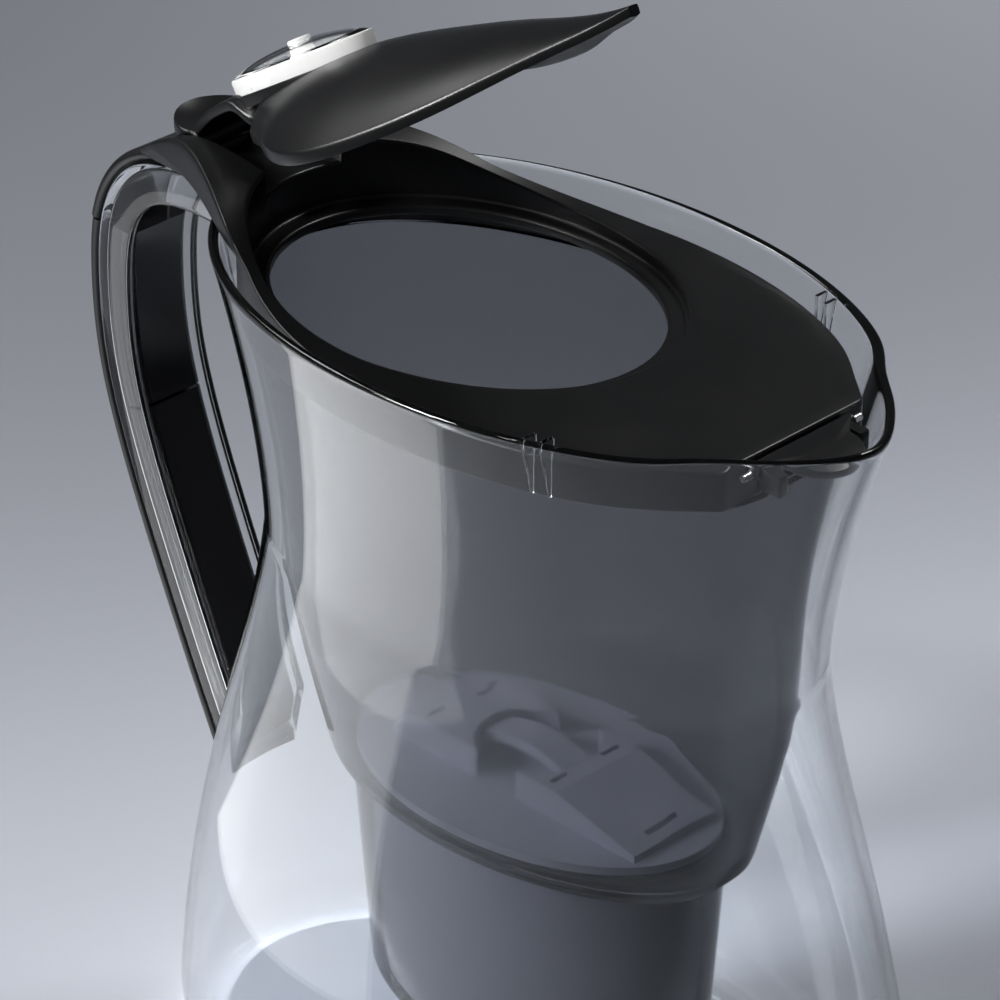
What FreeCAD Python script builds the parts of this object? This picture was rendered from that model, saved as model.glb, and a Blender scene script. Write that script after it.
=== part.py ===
import FreeCAD, Part
import math
import os
import re
from types import SimpleNamespace

# Water filter pitcher: a clear oval jug with a funnel, a cartridge, a lid, two flaps and a loop handle.
# Frame: origin at the middle of the base on the table, +X to the spout, +Z up, mirror plane at Y = 0.
# All sizes are in millimetres and angles in degrees.

SIZES = {
    # Jug
    "rim_height": 235.0,
    "rim_half_length": 95.0,
    "rim_half_width": 59.5,
    "waist_height": 159.0,
    "waist_half_length": 82.0,
    "waist_half_width": 49.0,
    "flare_height": 18.0,
    "flare_half_length": 112.0,
    "flare_half_width": 70.5,
    "base_half_length": 100.0,
    "base_half_width": 58.5,
    "jug_wall": 2.6,
    "base_thickness": 3.2,
    "spout_reach": 8.0,
    "spout_half_width": 17.0,
    "spout_pinch": 2.5,
    "spout_pinch_place": 30.0,
    "spout_pinch_width": 8.0,
    "spout_foot_height": 150.0,
    "rib_place": 46.0,
    "rib_pitch": 4.0,
    "rib_width": 1.0,
    "rib_height": 14.0,
    "rib_drop": 0.8,
    "rib_gap": 0.4,
    # Handle
    "handle_top": 236.5,
    "handle_foot": 60.0,
    "handle_reach": 150.0,
    "handle_half_width": 12.0,
    "handle_depth": 15.0,
    "strip_thickness": 3.5,
    "shell_wall": 2.2,
    "core_gap": 0.2,
    "core_setback": 1.8,
    "core_parting": 0.8,
    "bond_gap": 0.15,
    # Funnel and cup
    "hopper_top": 219.5,
    "hopper_foot": 100.5,
    "hopper_foot_half_length": 64.0,
    "hopper_foot_half_width": 36.0,
    "hopper_wall": 2.0,
    "hopper_floor": 2.5,
    "hopper_rim_gap": 2.0,
    "hopper_waist_gap": 2.6,
    "front_top_reach": 81.0,
    "front_foot_reach": 63.0,
    "seat_half_length": 51.0,
    "seat_half_width": 31.0,
    "cup_foot": 34.0,
    "cup_top_half_length": 55.0,
    "cup_top_half_width": 35.0,
    "cup_foot_half_length": 51.0,
    "cup_foot_half_width": 31.5,
    "cup_round": 7.0,
    "cup_wall": 2.0,
    "cup_drain_half_length": 16.0,
    "cup_drain_half_width": 8.0,
    # Cartridge
    "seal_height": 1.2,
    "seal_width": 1.6,
    "flange_half_length": 53.0,
    "flange_half_width": 33.0,
    "flange_thickness": 2.2,
    "case_gap": 0.7,
    "case_draw_in": 3.2,
    "case_foot": 39.0,
    "case_wall": 1.6,
    "media_gap": 0.3,
    "screen_thickness": 0.8,
    "drain_slot_length": 24.0,
    "drain_slot_width": 4.0,
    "drain_slot_pitch": 9.0,
    "hump_height": 8.0,
    "hump_half_width": 14.0,
    "hump_rear": 36.0,
    "hump_front": 46.0,
    "hump_shoulder": 6.0,
    "hump_slope_run": 26.0,
    "hump_toe": 2.0,
    "finger_hollow_radius": 15.5,
    "loop_rise": 9.0,
    "loop_thickness": 3.0,
    "loop_half_width": 4.5,
    "loop_foot": 2.0,
    "loop_gap": 0.15,
    "slit_length": 6.0,
    "slit_width": 1.6,
    "slit_depth": 2.0,
    "slit_setback": 4.0,
    "slit_spread": 8.5,
    # Lid
    "plateau_height": 229.5,
    "lid_gap": 0.8,
    "lid_wall": 2.4,
    "lid_front": 79.0,
    "ledge_height": 226.5,
    "ledge_thickness": 2.5,
    "opening_center": 24.5,
    "opening_half_length": 53.0,
    "opening_half_width": 40.0,
    "recess_half_length": 58.5,
    "recess_half_width": 44.0,
    "saddle_start": 15.0,
    "saddle_height": 244.2,
    "tongue_root": 66.0,
    "tongue_root_half_width": 40.0,
    "tongue_neck_half_width": 17.0,
    "tail_thickness": 3.2,
    "tail_run": 18.0,
    "tail_half_width": 12.4,
    "rim_clearance": 0.5,
    # Fill flap
    "hinge_back": 108.0,
    "hinge_height": 241.5,
    "hinge_pin_radius": 1.5,
    "hinge_pin_half_length": 16.0,
    "pin_fit": 0.05,
    "barrel_radius": 3.2,
    "neck_half_width": 12.0,
    "neck_gap": 0.4,
    "neck_floor": 237.6,
    "neck_slot_run": 19.0,
    "flap_open_angle": 27.3,
    "flap_length": 155.0,
    "flap_half_width": 36.5,
    "flap_arch": 10.7,
    "flap_crown": 14.5,
    "flap_thickness": 2.6,
    "tab_length": 12.5,
    "tab_thickness": 3.6,
    "tab_lift": 1.2,
    "tab_dish": 1.6,
    "catch_place": 53.0,
    "catch_length": 8.0,
    "catch_half_width": 5.0,
    "catch_drop": 13.2,
    # Filter-change indicator on the flap
    "indicator_place": 38.0,
    "indicator_tilt": 3.5,
    "tray_half_length": 26.0,
    "tray_half_width": 11.0,
    "tray_seat": 5.85,
    "tray_height": 4.6,
    "tray_wall": 2.2,
    "tray_floor": 1.2,
    "tray_fit": 0.1,
    "pad_rim": 1.5,
    "pad_depth": 3.0,
    "pad_lip": 0.4,
    "lens_inset": 0.6,
    "lens_rise": 3.2,
    "lens_draw_in": 4.0,
    "lens_wall": 1.0,
    "board_gap": 0.4,
    "board_thickness": 1.2,
    "display_half_length": 7.0,
    "display_half_width": 4.5,
    "display_thickness": 1.4,
    "display_shift": 13.5,
    "cell_radius": 6.0,
    "cell_height": 2.0,
    "cell_place": 13.0,
    "cell_rim": 2.0,
    "cell_groove_depth": 0.2,
    "button_place": 1.5,
    "button_radius": 3.0,
    "button_height": 4.8,
    "button_travel": 1.0,
    "button_gap": 0.35,
    "button_rim": 0.8,
    "button_dish": 0.4,
    # Spout flap
    "spout_hinge_reach": 81.3,
    "spout_flap_thickness": 2.0,
    "spout_knuckle_radius": 1.8,
    "spout_pin_radius": 0.9,
    "spout_flap_root_half_width": 16.5,
    "spout_flap_tip": 96.4,
    "spout_flap_tip_radius": 10.0,
    "spout_ear_gap": 0.4,
    "spout_ear_width": 2.5,
    "lug_drop": 4.0,
    "lug_length": 5.0,
    "lug_width": 3.0,
    # One overrun serves every cut
    "overrun": 5.0,
}

# Form shares and counts, chosen by hand.
BODY_STRAIGHT_SHARE = 0.5
BODY_BEND_POWER = 1.3
NECK_BEND_POWER = 1.6
SPOUT_FADE_POWER = 1.3
FOOT_TURNS = (0, 25, 50, 70, 90)
BODY_RUN_SHARES = (0.12, 0.28, 0.45, 0.62, 0.78, 0.9, 1.0)
NECK_RUN_SHARES = (0.15, 0.35, 0.55, 0.75, 0.9, 1.0)
OUTLINE_STEPS = 48
CURVE_STEPS = 14
# Cup: how far the bottom edge is drawn in and how high, then how far up the wall.
CUP_ROUND_SHARES = ((1.0, 0.0), (0.3, 0.3), (0.0, 1.0))
CUP_WALL_SHARES = (0.15, 0.35, 0.6, 1.0)
# Hopper: heights of its ellipses above the waist, and the two knees between its foot and the waist.
HOPPER_RISE_SHARES = (0.0, 0.3, 0.6, 1.0)
HOPPER_KNEE_SHARES = ((0.35, 0.45), (0.7, 0.82))
# Case, granules and dome: how high an ellipse lies and how far it is drawn in.
CASE_SHARES = ((0.0, 1.0), (0.5, 0.4), (1.0, 0.0))
MEDIA_SHARES = ((0.0, 1.0), (0.5, 0.45), (1.0, 0.1))
LENS_SHARES = ((0.0, 0.0), (0.6, 0.25), (1.0, 1.0))
# Tongue: how far back, and how far narrowed, the middle of its side lies.
TONGUE_BACK_SHARE = 0.45
TONGUE_NARROW_SHARE = 0.55
# Handle's outer line, as shares of its reach behind the rim and of its height above the foot.
HANDLE_LINE_SHARES = (
    (0.0, 1.0), (0.36, 1.0), (0.71, 0.963), (0.927, 0.878), (1.0, 0.754),
    (0.973, 0.612), (0.855, 0.476), (0.655, 0.317), (0.436, 0.159), (0.2, 0.0))
TAIL_END_SHARE = 0.3
CORE_START_SHARE = 0.29
CORE_SPLIT_SHARE = 0.54
CORE_END_SHARE = 0.97
# Saddle's ridge from the plateau to the hinge, and on to the tail, as shares of run and rise.
SADDLE_SHARES = ((0.0, 0.0), (0.215, 0.1), (0.43, 0.38), (0.613, 0.79), (0.785, 1.0), (1.0, 1.0))
TAIL_FALL_SHARES = ((0.28, 0.7), (0.55, 0.35), (1.0, 0.0))
# Flap sections: share of length, of half width, of the ridge's arch, of crown and of thickness at the edge.
FLAP_SHARES = (
    (0.0, 0.307, 0.28, 0.034, 1.0), (0.022, 0.308, 0.45, 0.038, 1.0), (0.045, 0.309, 0.595, 0.041, 1.0),
    (0.067, 0.31, 0.69, 0.044, 1.0), (0.09, 0.312, 0.748, 0.048, 1.0), (0.107, 0.315, 0.775, 0.052, 1.0),
    (0.123, 0.318, 0.794, 0.075, 1.0), (0.141, 0.322, 0.812, 0.21, 1.0), (0.16, 0.321, 0.827, 0.42, 1.0),
    (0.181, 0.338, 0.846, 0.55, 1.05), (0.207, 0.48, 0.869, 0.621, 1.1), (0.24, 0.592, 0.893, 0.659, 1.2),
    (0.285, 0.699, 0.93, 0.721, 1.3), (0.345, 0.877, 0.972, 0.828, 1.4), (0.41, 1.0, 1.0, 1.0, 1.4),
    (0.56, 0.94, 0.888, 1.0, 1.2), (0.71, 0.682, 0.701, 0.714, 1.1), (0.86, 0.345, 0.458, 0.283, 0.95),
    (0.96, 0.137, 0.402, 0.09, 0.85), (1.0, 0.041, 0.421, 0.014, 0.8))

os.makedirs("parts", exist_ok=True)
doc = FreeCAD.newDocument("water_filter_pitcher")
V = FreeCAD.Vector

sheet = doc.addObject("Spreadsheet::Sheet", "Sizes")
for row, (name, value) in enumerate(SIZES.items(), start=1):
    sheet.set(f"A{row}", name)
    sheet.set(f"B{row}", str(value))
    sheet.setAlias(f"B{row}", name)
doc.recompute()

mm = SimpleNamespace(**{name: float(sheet.get(name)) for name in SIZES})
SIZE_NAME = re.compile(r"\b(" + "|".join(sorted(SIZES, key=len, reverse=True)) + r")\b")
SIDES = ("half_length", "half_width")
ALONG_Y = FreeCAD.Rotation(V(1, 0, 0), -90)


def bind(thing, prop, formula):
    """Tie a property to the sheet. A formula is written in plain size names."""
    thing.setExpression(prop, SIZE_NAME.sub(r"Sizes.\1", formula))


def place(thing, x="0", y="0", z="0"):
    """Tie a piece's position to the sheet."""
    bind(thing, "Placement.Base.x", x)
    bind(thing, "Placement.Base.y", y)
    bind(thing, "Placement.Base.z", z)
    return thing


def box(name, x, y, z, length, width, height):
    """A box from its low corner, each value a formula."""
    thing = doc.addObject("Part::Box", name)
    bind(thing, "Length", length)
    bind(thing, "Width", width)
    bind(thing, "Height", height)
    return place(thing, x, y, z)


def rod(name, radius, x, z, half_length, y="0"):
    """A round rod along Y, centred on y."""
    thing = doc.addObject("Part::Cylinder", name)
    thing.Placement.Rotation = ALONG_Y
    bind(thing, "Radius", radius)
    bind(thing, "Height", f"2 * ({half_length})")
    return place(thing, x, f"{y} - ({half_length})", z)


def post(name, radius, x, y, z, height):
    """A round post along Z."""
    thing = doc.addObject("Part::Cylinder", name)
    bind(thing, "Radius", radius)
    bind(thing, "Height", height)
    return place(thing, x, y, z)


def oval(name, half_length, half_width, x, z):
    """A flat ellipse at a height."""
    thing = doc.addObject("Part::Ellipse", name)
    bind(thing, "MajorRadius", half_length)
    bind(thing, "MinorRadius", half_width)
    return place(thing, x, "0", z)


def oval_prism(name, half_length, half_width, x, z, height):
    """An upright prism over an ellipse."""
    thing = doc.addObject("Part::Extrusion", name)
    thing.Base = oval(name + "_oval", half_length, half_width, x, z)
    thing.DirMode = "Custom"
    thing.Dir = V(0, 0, 1)
    thing.Solid = True
    bind(thing, "LengthFwd", height)
    return thing


def oval_loft(name, sections):
    """A solid through ellipses, each given as half length, half width, x and z."""
    thing = doc.addObject("Part::Loft", name)
    thing.Sections = [oval(f"{name}_oval{i}", *section) for i, section in enumerate(sections)]
    thing.Solid = True
    thing.Ruled = False
    return thing


def pair(kind, name, base, tool):
    """A cut, fuse or common of two objects."""
    thing = doc.addObject("Part::" + kind, name)
    thing.Base = base
    thing.Tool = tool
    return thing


def cut(name, base, *tools):
    """Cut one tool after the other."""
    for i, tool in enumerate(tools):
        last = i == len(tools) - 1
        base = pair("Cut", name if last else f"{name}_cut{i}", base, tool)
    return base


def fuse(name, *pieces):
    """One solid of several pieces."""
    thing = doc.addObject("Part::MultiFuse", name)
    thing.Shapes = list(pieces)
    thing.Refine = True
    return thing


def form(name, shape):
    """An object for a shape that is drawn by its own formula."""
    thing = doc.addObject("Part::Feature", name)
    thing.Shape = shape
    return thing


def profile_prism(wire, half_width):
    """A prism over a closed outline in the XZ plane, spread evenly about Y = 0."""
    face = Part.Face(wire)
    face.translate(V(0, -half_width, 0))
    return face.extrude(V(0, 2 * half_width, 0))


def mix(low, high, share):
    """The value a share of the way from low to high."""
    return low + (high - low) * share


# Jug form: an oval whose half length and half width change with height.

def jug_oval(height):
    """Half length and half width of the jug's outside at a height."""
    base = (mm.base_half_length, mm.base_half_width)
    flare = (mm.flare_half_length, mm.flare_half_width)
    waist = (mm.waist_half_length, mm.waist_half_width)
    rim = (mm.rim_half_length, mm.rim_half_width)
    if height < mm.flare_height:
        share = math.sqrt(1 - (1 - height / mm.flare_height) ** 2)
        low, high = base, flare
    elif height < mm.waist_height:
        run = (height - mm.flare_height) / (mm.waist_height - mm.flare_height)
        bend = run ** BODY_BEND_POWER
        share = mix(bend * bend * (3 - 2 * bend), run, BODY_STRAIGHT_SHARE)
        low, high = flare, waist
    else:
        share = ((height - mm.waist_height) / (mm.rim_height - mm.waist_height)) ** NECK_BEND_POWER
        low, high = waist, rim
    return mix(low[0], high[0], share), mix(low[1], high[1], share)


def neck_formula(side, height):
    """The jug's half length or half width in its neck, as a formula of a height."""
    run = f"(({height} - waist_height) / (rim_height - waist_height))"
    return f"(waist_{side} + (rim_{side} - waist_{side}) * {run} ^ {NECK_BEND_POWER})"


def jug_outline(height, inset, level=None):
    """The jug's outline at a height, drawn in by an inset. The oval runs out into a pinched spout."""
    half_length, half_width = jug_oval(height)
    rise = (height - mm.spout_foot_height) / (mm.rim_height - mm.spout_foot_height)
    fade = max(0.0, rise) ** SPOUT_FADE_POWER
    points = []
    for step in range(OUTLINE_STEPS):
        turn = 2 * math.pi * step / OUTLINE_STEPS
        along = (half_length - inset) * math.cos(turn)
        across = (half_width - inset) * math.sin(turn)
        if math.cos(turn) > 0:
            lip = mm.spout_reach * math.exp(-(across / mm.spout_half_width) ** 2)
            off_pinch = (abs(across) - mm.spout_pinch_place) / mm.spout_pinch_width
            along += (lip - mm.spout_pinch * math.exp(-off_pinch ** 2)) * fade
        points.append(V(along, across, height if level is None else level))
    curve = Part.BSplineCurve()
    curve.interpolate(Points=points, PeriodicFlag=True)
    return Part.Wire([curve.toShape()])


def jug_solid(inset, low, high):
    """The jug's form drawn in by an inset, filled from a low height to a high one."""
    foot = [mm.flare_height * (1 - math.cos(math.radians(turn))) for turn in FOOT_TURNS]
    body = [mix(mm.flare_height, mm.waist_height, share) for share in BODY_RUN_SHARES]
    neck = [mix(mm.waist_height, mm.rim_height, share) for share in NECK_RUN_SHARES]
    inner = [height for height in foot + body + neck if low < height < high]
    return Part.makeLoft([jug_outline(height, inset) for height in [low] + inner + [high]], True, False)


def lid_plan(inset, low, high):
    """Upright prism of the lid's outline inside the jug at the skirt's height."""
    wire = jug_outline(mm.hopper_top, mm.jug_wall + mm.lid_gap + inset, low)
    return Part.Face(wire).extrude(V(0, 0, high - low))


jug_outer = form("jug_outer", jug_solid(0, 0, mm.rim_height))
jug_inner = form("jug_inner", jug_solid(mm.jug_wall, mm.base_thickness, mm.rim_height + mm.overrun))
jug_skin = cut("jug_skin", jug_outer, jug_inner)
# Two pairs of small ribs under the rim keep the lid in its place.
ribs = [box(f"rib{i}", f"rib_place + rib_pitch * {shift} - rib_width / 2", "-rim_half_width",
            "rim_height - rib_drop - rib_height", "rib_width", "2 * rim_half_width", "rib_height")
        for i, shift in enumerate((-0.5, 0.5))]
lid_room = form("lid_room", lid_plan(-mm.rib_gap, mm.hopper_top, mm.rim_height))
rib_bars = cut("rib_bars", fuse("rib_rows", *ribs), lid_room)
jug_body = pair("Fuse", "jug_body", jug_skin, pair("Common", "rib_ends", rib_bars, jug_outer))

# Handle: bands that follow one outer line at different depths.

handle_points = [
    V(-mix(mm.rim_half_length, mm.handle_reach, back), 0, mix(mm.handle_foot, mm.handle_top, up))
    for back, up in HANDLE_LINE_SHARES]
handle_line = Part.BSplineCurve()
handle_line.interpolate(Points=handle_points)


def handle_curve(depth, start_share, end_share):
    """The handle's outer line moved inwards by a depth, between two shares of its run."""
    points = []
    for step in range(CURVE_STEPS + 1):
        share = mix(start_share, end_share, step / CURVE_STEPS)
        along = mix(handle_line.FirstParameter, handle_line.LastParameter, share)
        way = handle_line.tangent(along)[0]
        points.append(handle_line.value(along) + V(-way.z, 0, way.x) * depth)
    curve = Part.BSplineCurve()
    curve.interpolate(Points=points)
    return curve.toShape()


def handle_band(outer_depth, inner_depth, half_width, start_share, end_share):
    """A band of the handle between two depths."""
    outer = handle_curve(outer_depth, start_share, end_share)
    inner = handle_curve(inner_depth, start_share, end_share)
    start = Part.makeLine(inner.Vertexes[0].Point, outer.Vertexes[0].Point)
    end = Part.makeLine(outer.Vertexes[-1].Point, inner.Vertexes[-1].Point)
    wire = Part.Wire(Part.__sortEdges__([outer, end, inner, start]))
    return profile_prism(wire, half_width)


core_depth = mm.strip_thickness + mm.shell_wall + mm.core_gap
core_inner_depth = mm.handle_depth - mm.core_setback
core_half_width = mm.handle_half_width - mm.shell_wall - mm.core_gap
jug_bond = form("jug_bond", jug_solid(-mm.bond_gap, 0, mm.rim_height + mm.overrun))


def handle_piece(name, band):
    """A handle band trimmed to the jug's outside."""
    return cut(name, form(name + "_band", band), jug_bond)


handle_strip = handle_piece(
    "handle_strip", handle_band(0, mm.strip_thickness, mm.handle_half_width, TAIL_END_SHARE, 1))
shell_band = handle_band(mm.strip_thickness, mm.handle_depth, mm.handle_half_width, 0, 1)
channel_band = handle_band(mm.strip_thickness + mm.shell_wall, mm.handle_depth + mm.overrun,
                           mm.handle_half_width - mm.shell_wall, 0, 1)
handle_shell = handle_piece("handle_shell", shell_band.cut(channel_band))
parting_share = mm.core_parting / handle_line.length()
handle_core_upper = handle_piece("handle_core_upper", handle_band(
    core_depth, core_inner_depth, core_half_width, CORE_START_SHARE, CORE_SPLIT_SHARE))
handle_core_lower = handle_piece("handle_core_lower", handle_band(
    core_depth, core_inner_depth, core_half_width, CORE_SPLIT_SHARE + parting_share, CORE_END_SHARE))

# Funnel: an oval hopper with a flat, sloping front wall, which leaves room for the water that is poured.


def front_limit(setback):
    """Everything behind the hopper's front wall, set back by a distance."""
    rear = -mm.flare_half_length
    low = mm.hopper_foot - mm.overrun
    high = mm.hopper_top + mm.overrun
    slope = (mm.front_top_reach - mm.front_foot_reach) / (mm.hopper_top - mm.hopper_foot)
    low_front = mm.front_foot_reach - setback - slope * mm.overrun
    high_front = mm.front_top_reach - setback + slope * mm.overrun
    corners = [V(rear, 0, low), V(low_front, 0, low), V(high_front, 0, high), V(rear, 0, high)]
    return profile_prism(Part.makePolygon(corners + corners[:1]), mm.flare_half_width)


def hopper_sections(inset, low, high):
    """Ellipses of the hopper's wall from the foot to the top."""
    shrink = f"- jug_wall - {inset}"
    upper = []
    for share in HOPPER_RISE_SHARES:
        height = f"(waist_height + (hopper_top - waist_height) * {share})"
        gap = f"(hopper_waist_gap + (hopper_rim_gap - hopper_waist_gap) * {share})"
        sides = [f"{neck_formula(side, height)} - {gap} {shrink}" for side in SIDES]
        upper.append(sides + ["0", height if share < 1 else high])
    foot = [f"(hopper_foot_{side} - {inset})" for side in SIDES]
    waist = upper[0][:2]
    knees = []
    for rise, widen in HOPPER_KNEE_SHARES:
        sides = [f"{at_foot} + ({at_waist} - {at_foot}) * {widen}" for at_foot, at_waist in zip(foot, waist)]
        knees.append(sides + ["0", f"(hopper_foot + (waist_height - hopper_foot) * {rise})"])
    return [foot + ["0", low]] + knees + upper


hopper_outer = pair(
    "Common", "hopper_outer",
    oval_loft("hopper_outer_loft", hopper_sections("0", "hopper_foot", "hopper_top")),
    form("hopper_front", front_limit(0)))
hopper_inner = pair("Common", "hopper_inner", oval_loft(
    "hopper_inner_loft",
    hopper_sections("hopper_wall", "hopper_foot + hopper_floor", "hopper_top + overrun")),
    form("hopper_inner_front", front_limit(mm.hopper_wall)))
hopper_seat = oval_prism("hopper_seat", "seat_half_length", "seat_half_width", "0", "hopper_foot - overrun",
                         "hopper_floor + 2 * overrun")
funnel_hopper = cut("funnel_hopper", hopper_outer, hopper_inner, hopper_seat)


def cup_sections(inset, low, high):
    """Ellipses of the cup, drawn in round the bottom edge and opening out towards the top."""
    sections = []
    for in_share, up_share in CUP_ROUND_SHARES:
        sides = [f"cup_foot_{side} - cup_round * {in_share} - {inset}" for side in SIDES]
        sections.append(sides + ["0", f"{low} + cup_round * {up_share}"])
    for share in CUP_WALL_SHARES:
        sides = [f"cup_foot_{side} + (cup_top_{side} - cup_foot_{side}) * {share} - {inset}"
                 for side in SIDES]
        sections.append(sides + ["0", f"({low} + cup_round) * {1 - share} + ({high}) * {share}"])
    return sections


cup_outer = oval_loft("cup_outer", cup_sections("0", "cup_foot", "hopper_foot"))
cup_inner = oval_loft("cup_inner", cup_sections("cup_wall", "cup_foot + cup_wall", "hopper_foot + overrun"))
cup_drain = oval_prism("cup_drain", "cup_drain_half_length", "cup_drain_half_width", "0",
                       "cup_foot - overrun", "2 * overrun + cup_wall")
cartridge_cup = cut("cartridge_cup", cup_outer, cup_inner, cup_drain)

# Cartridge: a drawn-in case under an oval cap that hangs on a seal in the hopper's seat.

SEAL_TOP = "(hopper_foot + hopper_floor + seal_height)"
FLANGE_TOP = f"({SEAL_TOP} + flange_thickness)"


def case_sections(inset, low, high, shares=CASE_SHARES):
    """Ellipses of the case, drawn in towards the foot."""
    sections = []
    for rise, draw_in in shares:
        sides = [f"seat_{side} - case_gap - {inset} - case_draw_in * {draw_in}" for side in SIDES]
        sections.append(sides + ["0", f"{low} + ({high} - ({low})) * {rise}"])
    return sections


MEDIA_TOP = f"({SEAL_TOP} - screen_thickness - media_gap)"
MEDIA_FOOT = "(case_foot + case_wall + screen_thickness)"
case_outer = oval_loft("case_outer", case_sections("0", "case_foot", SEAL_TOP))
case_inner = oval_loft(
    "case_inner", case_sections("case_wall", "case_foot + case_wall", f"{SEAL_TOP} + overrun"))
drain_slots = []
for index in (-1, 0, 1):
    slot_low = f"drain_slot_pitch * {index} - drain_slot_width / 2"
    drain_slots.append(box(
        f"drain_slot{index + 2}", "-drain_slot_length / 2", slot_low, "case_foot - overrun",
        "drain_slot_length", "drain_slot_width", "2 * overrun"))
cartridge_shell = cut("cartridge_shell", case_outer, case_inner, *drain_slots)

cartridge_seal = cut(
    "cartridge_seal",
    oval_prism("seal_outer", "seat_half_length + seal_width", "seat_half_width + seal_width", "0",
               "hopper_foot + hopper_floor", "seal_height"),
    oval_prism("seal_inner", "seat_half_length", "seat_half_width", "0",
               "hopper_foot + hopper_floor - overrun", "seal_height + 2 * overrun"))

filter_media = oval_loft("filter_media", case_sections(
    "case_wall - media_gap", MEDIA_FOOT, MEDIA_TOP, MEDIA_SHARES))
inlet_screen = oval_prism(
    "inlet_screen", "seat_half_length - case_gap - case_wall - media_gap",
    "seat_half_width - case_gap - case_wall - media_gap", "0", MEDIA_TOP, "screen_thickness")
outlet_screen = oval_prism(
    "outlet_screen", "seat_half_length - case_gap - case_wall - media_gap - case_draw_in",
    "seat_half_width - case_gap - case_wall - media_gap - case_draw_in", "0", "case_foot + case_wall",
    "screen_thickness")

# Cap: a flange with one long boss. A round finger hollow splits the boss into two humps.
seal_top = mm.hopper_foot + mm.hopper_floor + mm.seal_height
flange_top = seal_top + mm.flange_thickness
hump_top = flange_top + mm.hump_height
hump_outline = [
    V(-mm.hump_rear, 0, seal_top), V(-mm.hump_rear, 0, flange_top + mm.hump_toe),
    V(-mm.hump_rear + mm.hump_shoulder, 0, hump_top), V(mm.hump_front - mm.hump_slope_run, 0, hump_top),
    V(mm.hump_front, 0, flange_top + mm.hump_toe), V(mm.hump_front, 0, seal_top)]
hump_wire = Part.makePolygon(hump_outline + hump_outline[:1])
hump_boss = form("hump_boss", profile_prism(hump_wire, mm.hump_half_width))
finger_hollow = post("finger_hollow", "finger_hollow_radius", "0", "0", FLANGE_TOP, "hump_height + overrun")
cap_flange = oval_prism(
    "cap_flange", "flange_half_length", "flange_half_width", "0", SEAL_TOP, "flange_thickness")
slits = []
for side in (-1, 1):
    for label, spot in (("rear", "-hump_rear + hump_shoulder + slit_setback"),
                        ("front", "hump_front - hump_slope_run - slit_setback")):
        slits.append(box(
            f"slit_{label}{side + 1}", f"{spot} - slit_width / 2", f"slit_spread * {side} - slit_length / 2",
            f"{FLANGE_TOP} + hump_height - slit_depth", "slit_width", "slit_length", "slit_depth + overrun"))
slits.append(box(
    "slit_toe", "hump_front - slit_setback - slit_width / 2", "-slit_length", f"{FLANGE_TOP}", "slit_width",
    "2 * slit_length", "hump_height"))
cartridge_cap = cut("cartridge_cap", fuse("cap_block", cap_flange, hump_boss), finger_hollow, *slits)

# Pull loop: an arched strap from hump to hump across the finger hollow.
loop_reach = mm.finger_hollow_radius
loop_foot = flange_top + mm.loop_foot
loop_crown = flange_top + mm.loop_rise


def loop_arc(lift):
    """The strap's lower or upper line."""
    return Part.Arc(V(-loop_reach, 0, loop_foot + lift), V(0, 0, loop_crown - mm.loop_thickness + lift),
                    V(loop_reach, 0, loop_foot + lift)).toShape()


loop_low = loop_arc(0)
loop_high = loop_arc(mm.loop_thickness)
loop_ends = []
for end in (-1, 1):
    toe = V(end * loop_reach, 0, loop_foot)
    loop_ends.append(Part.makeLine(toe, toe + V(0, 0, mm.loop_thickness)))
loop_wire = Part.Wire(Part.__sortEdges__([loop_low, loop_high] + loop_ends))
loop_strap = form("loop_strap", profile_prism(loop_wire, mm.loop_half_width))
loop_limit = post(
    "loop_limit", "finger_hollow_radius - loop_gap", "0", "0", FLANGE_TOP, "hump_height + overrun")
pull_loop = pair("Common", "pull_loop", loop_strap, loop_limit)

# Lid: a plateau inside the rim, a saddle that rises over the rim to the hinge, and a tail over the handle.

tail_join = mm.hinge_back + mm.tail_run

def saddle_prism():
    """The lid's side outline carried across: plateau, saddle, hinge and the fall to the tail."""
    floor = mm.hopper_top
    tail_height = mm.handle_top
    rise = [V(-mix(mm.saddle_start, mm.hinge_back, run), 0, mix(mm.plateau_height, mm.saddle_height, up))
            for run, up in SADDLE_SHARES]
    fall = [V(-mix(mm.hinge_back, tail_join, run), 0, mix(tail_height, mm.saddle_height, up))
            for run, up in TAIL_FALL_SHARES]
    ridge = Part.BSplineCurve()
    ridge.interpolate(Points=rise + fall)
    front = V(mm.rim_half_length, 0, mm.plateau_height)
    end = fall[-1]
    wire = Part.Wire([
        Part.makeLine(front, rise[0]), ridge.toShape(), Part.makeLine(end, V(end.x, 0, floor)),
        Part.makeLine(V(end.x, 0, floor), V(front.x, 0, floor)), Part.makeLine(V(front.x, 0, floor), front)])
    return profile_prism(wire, mm.rim_half_width)


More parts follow.
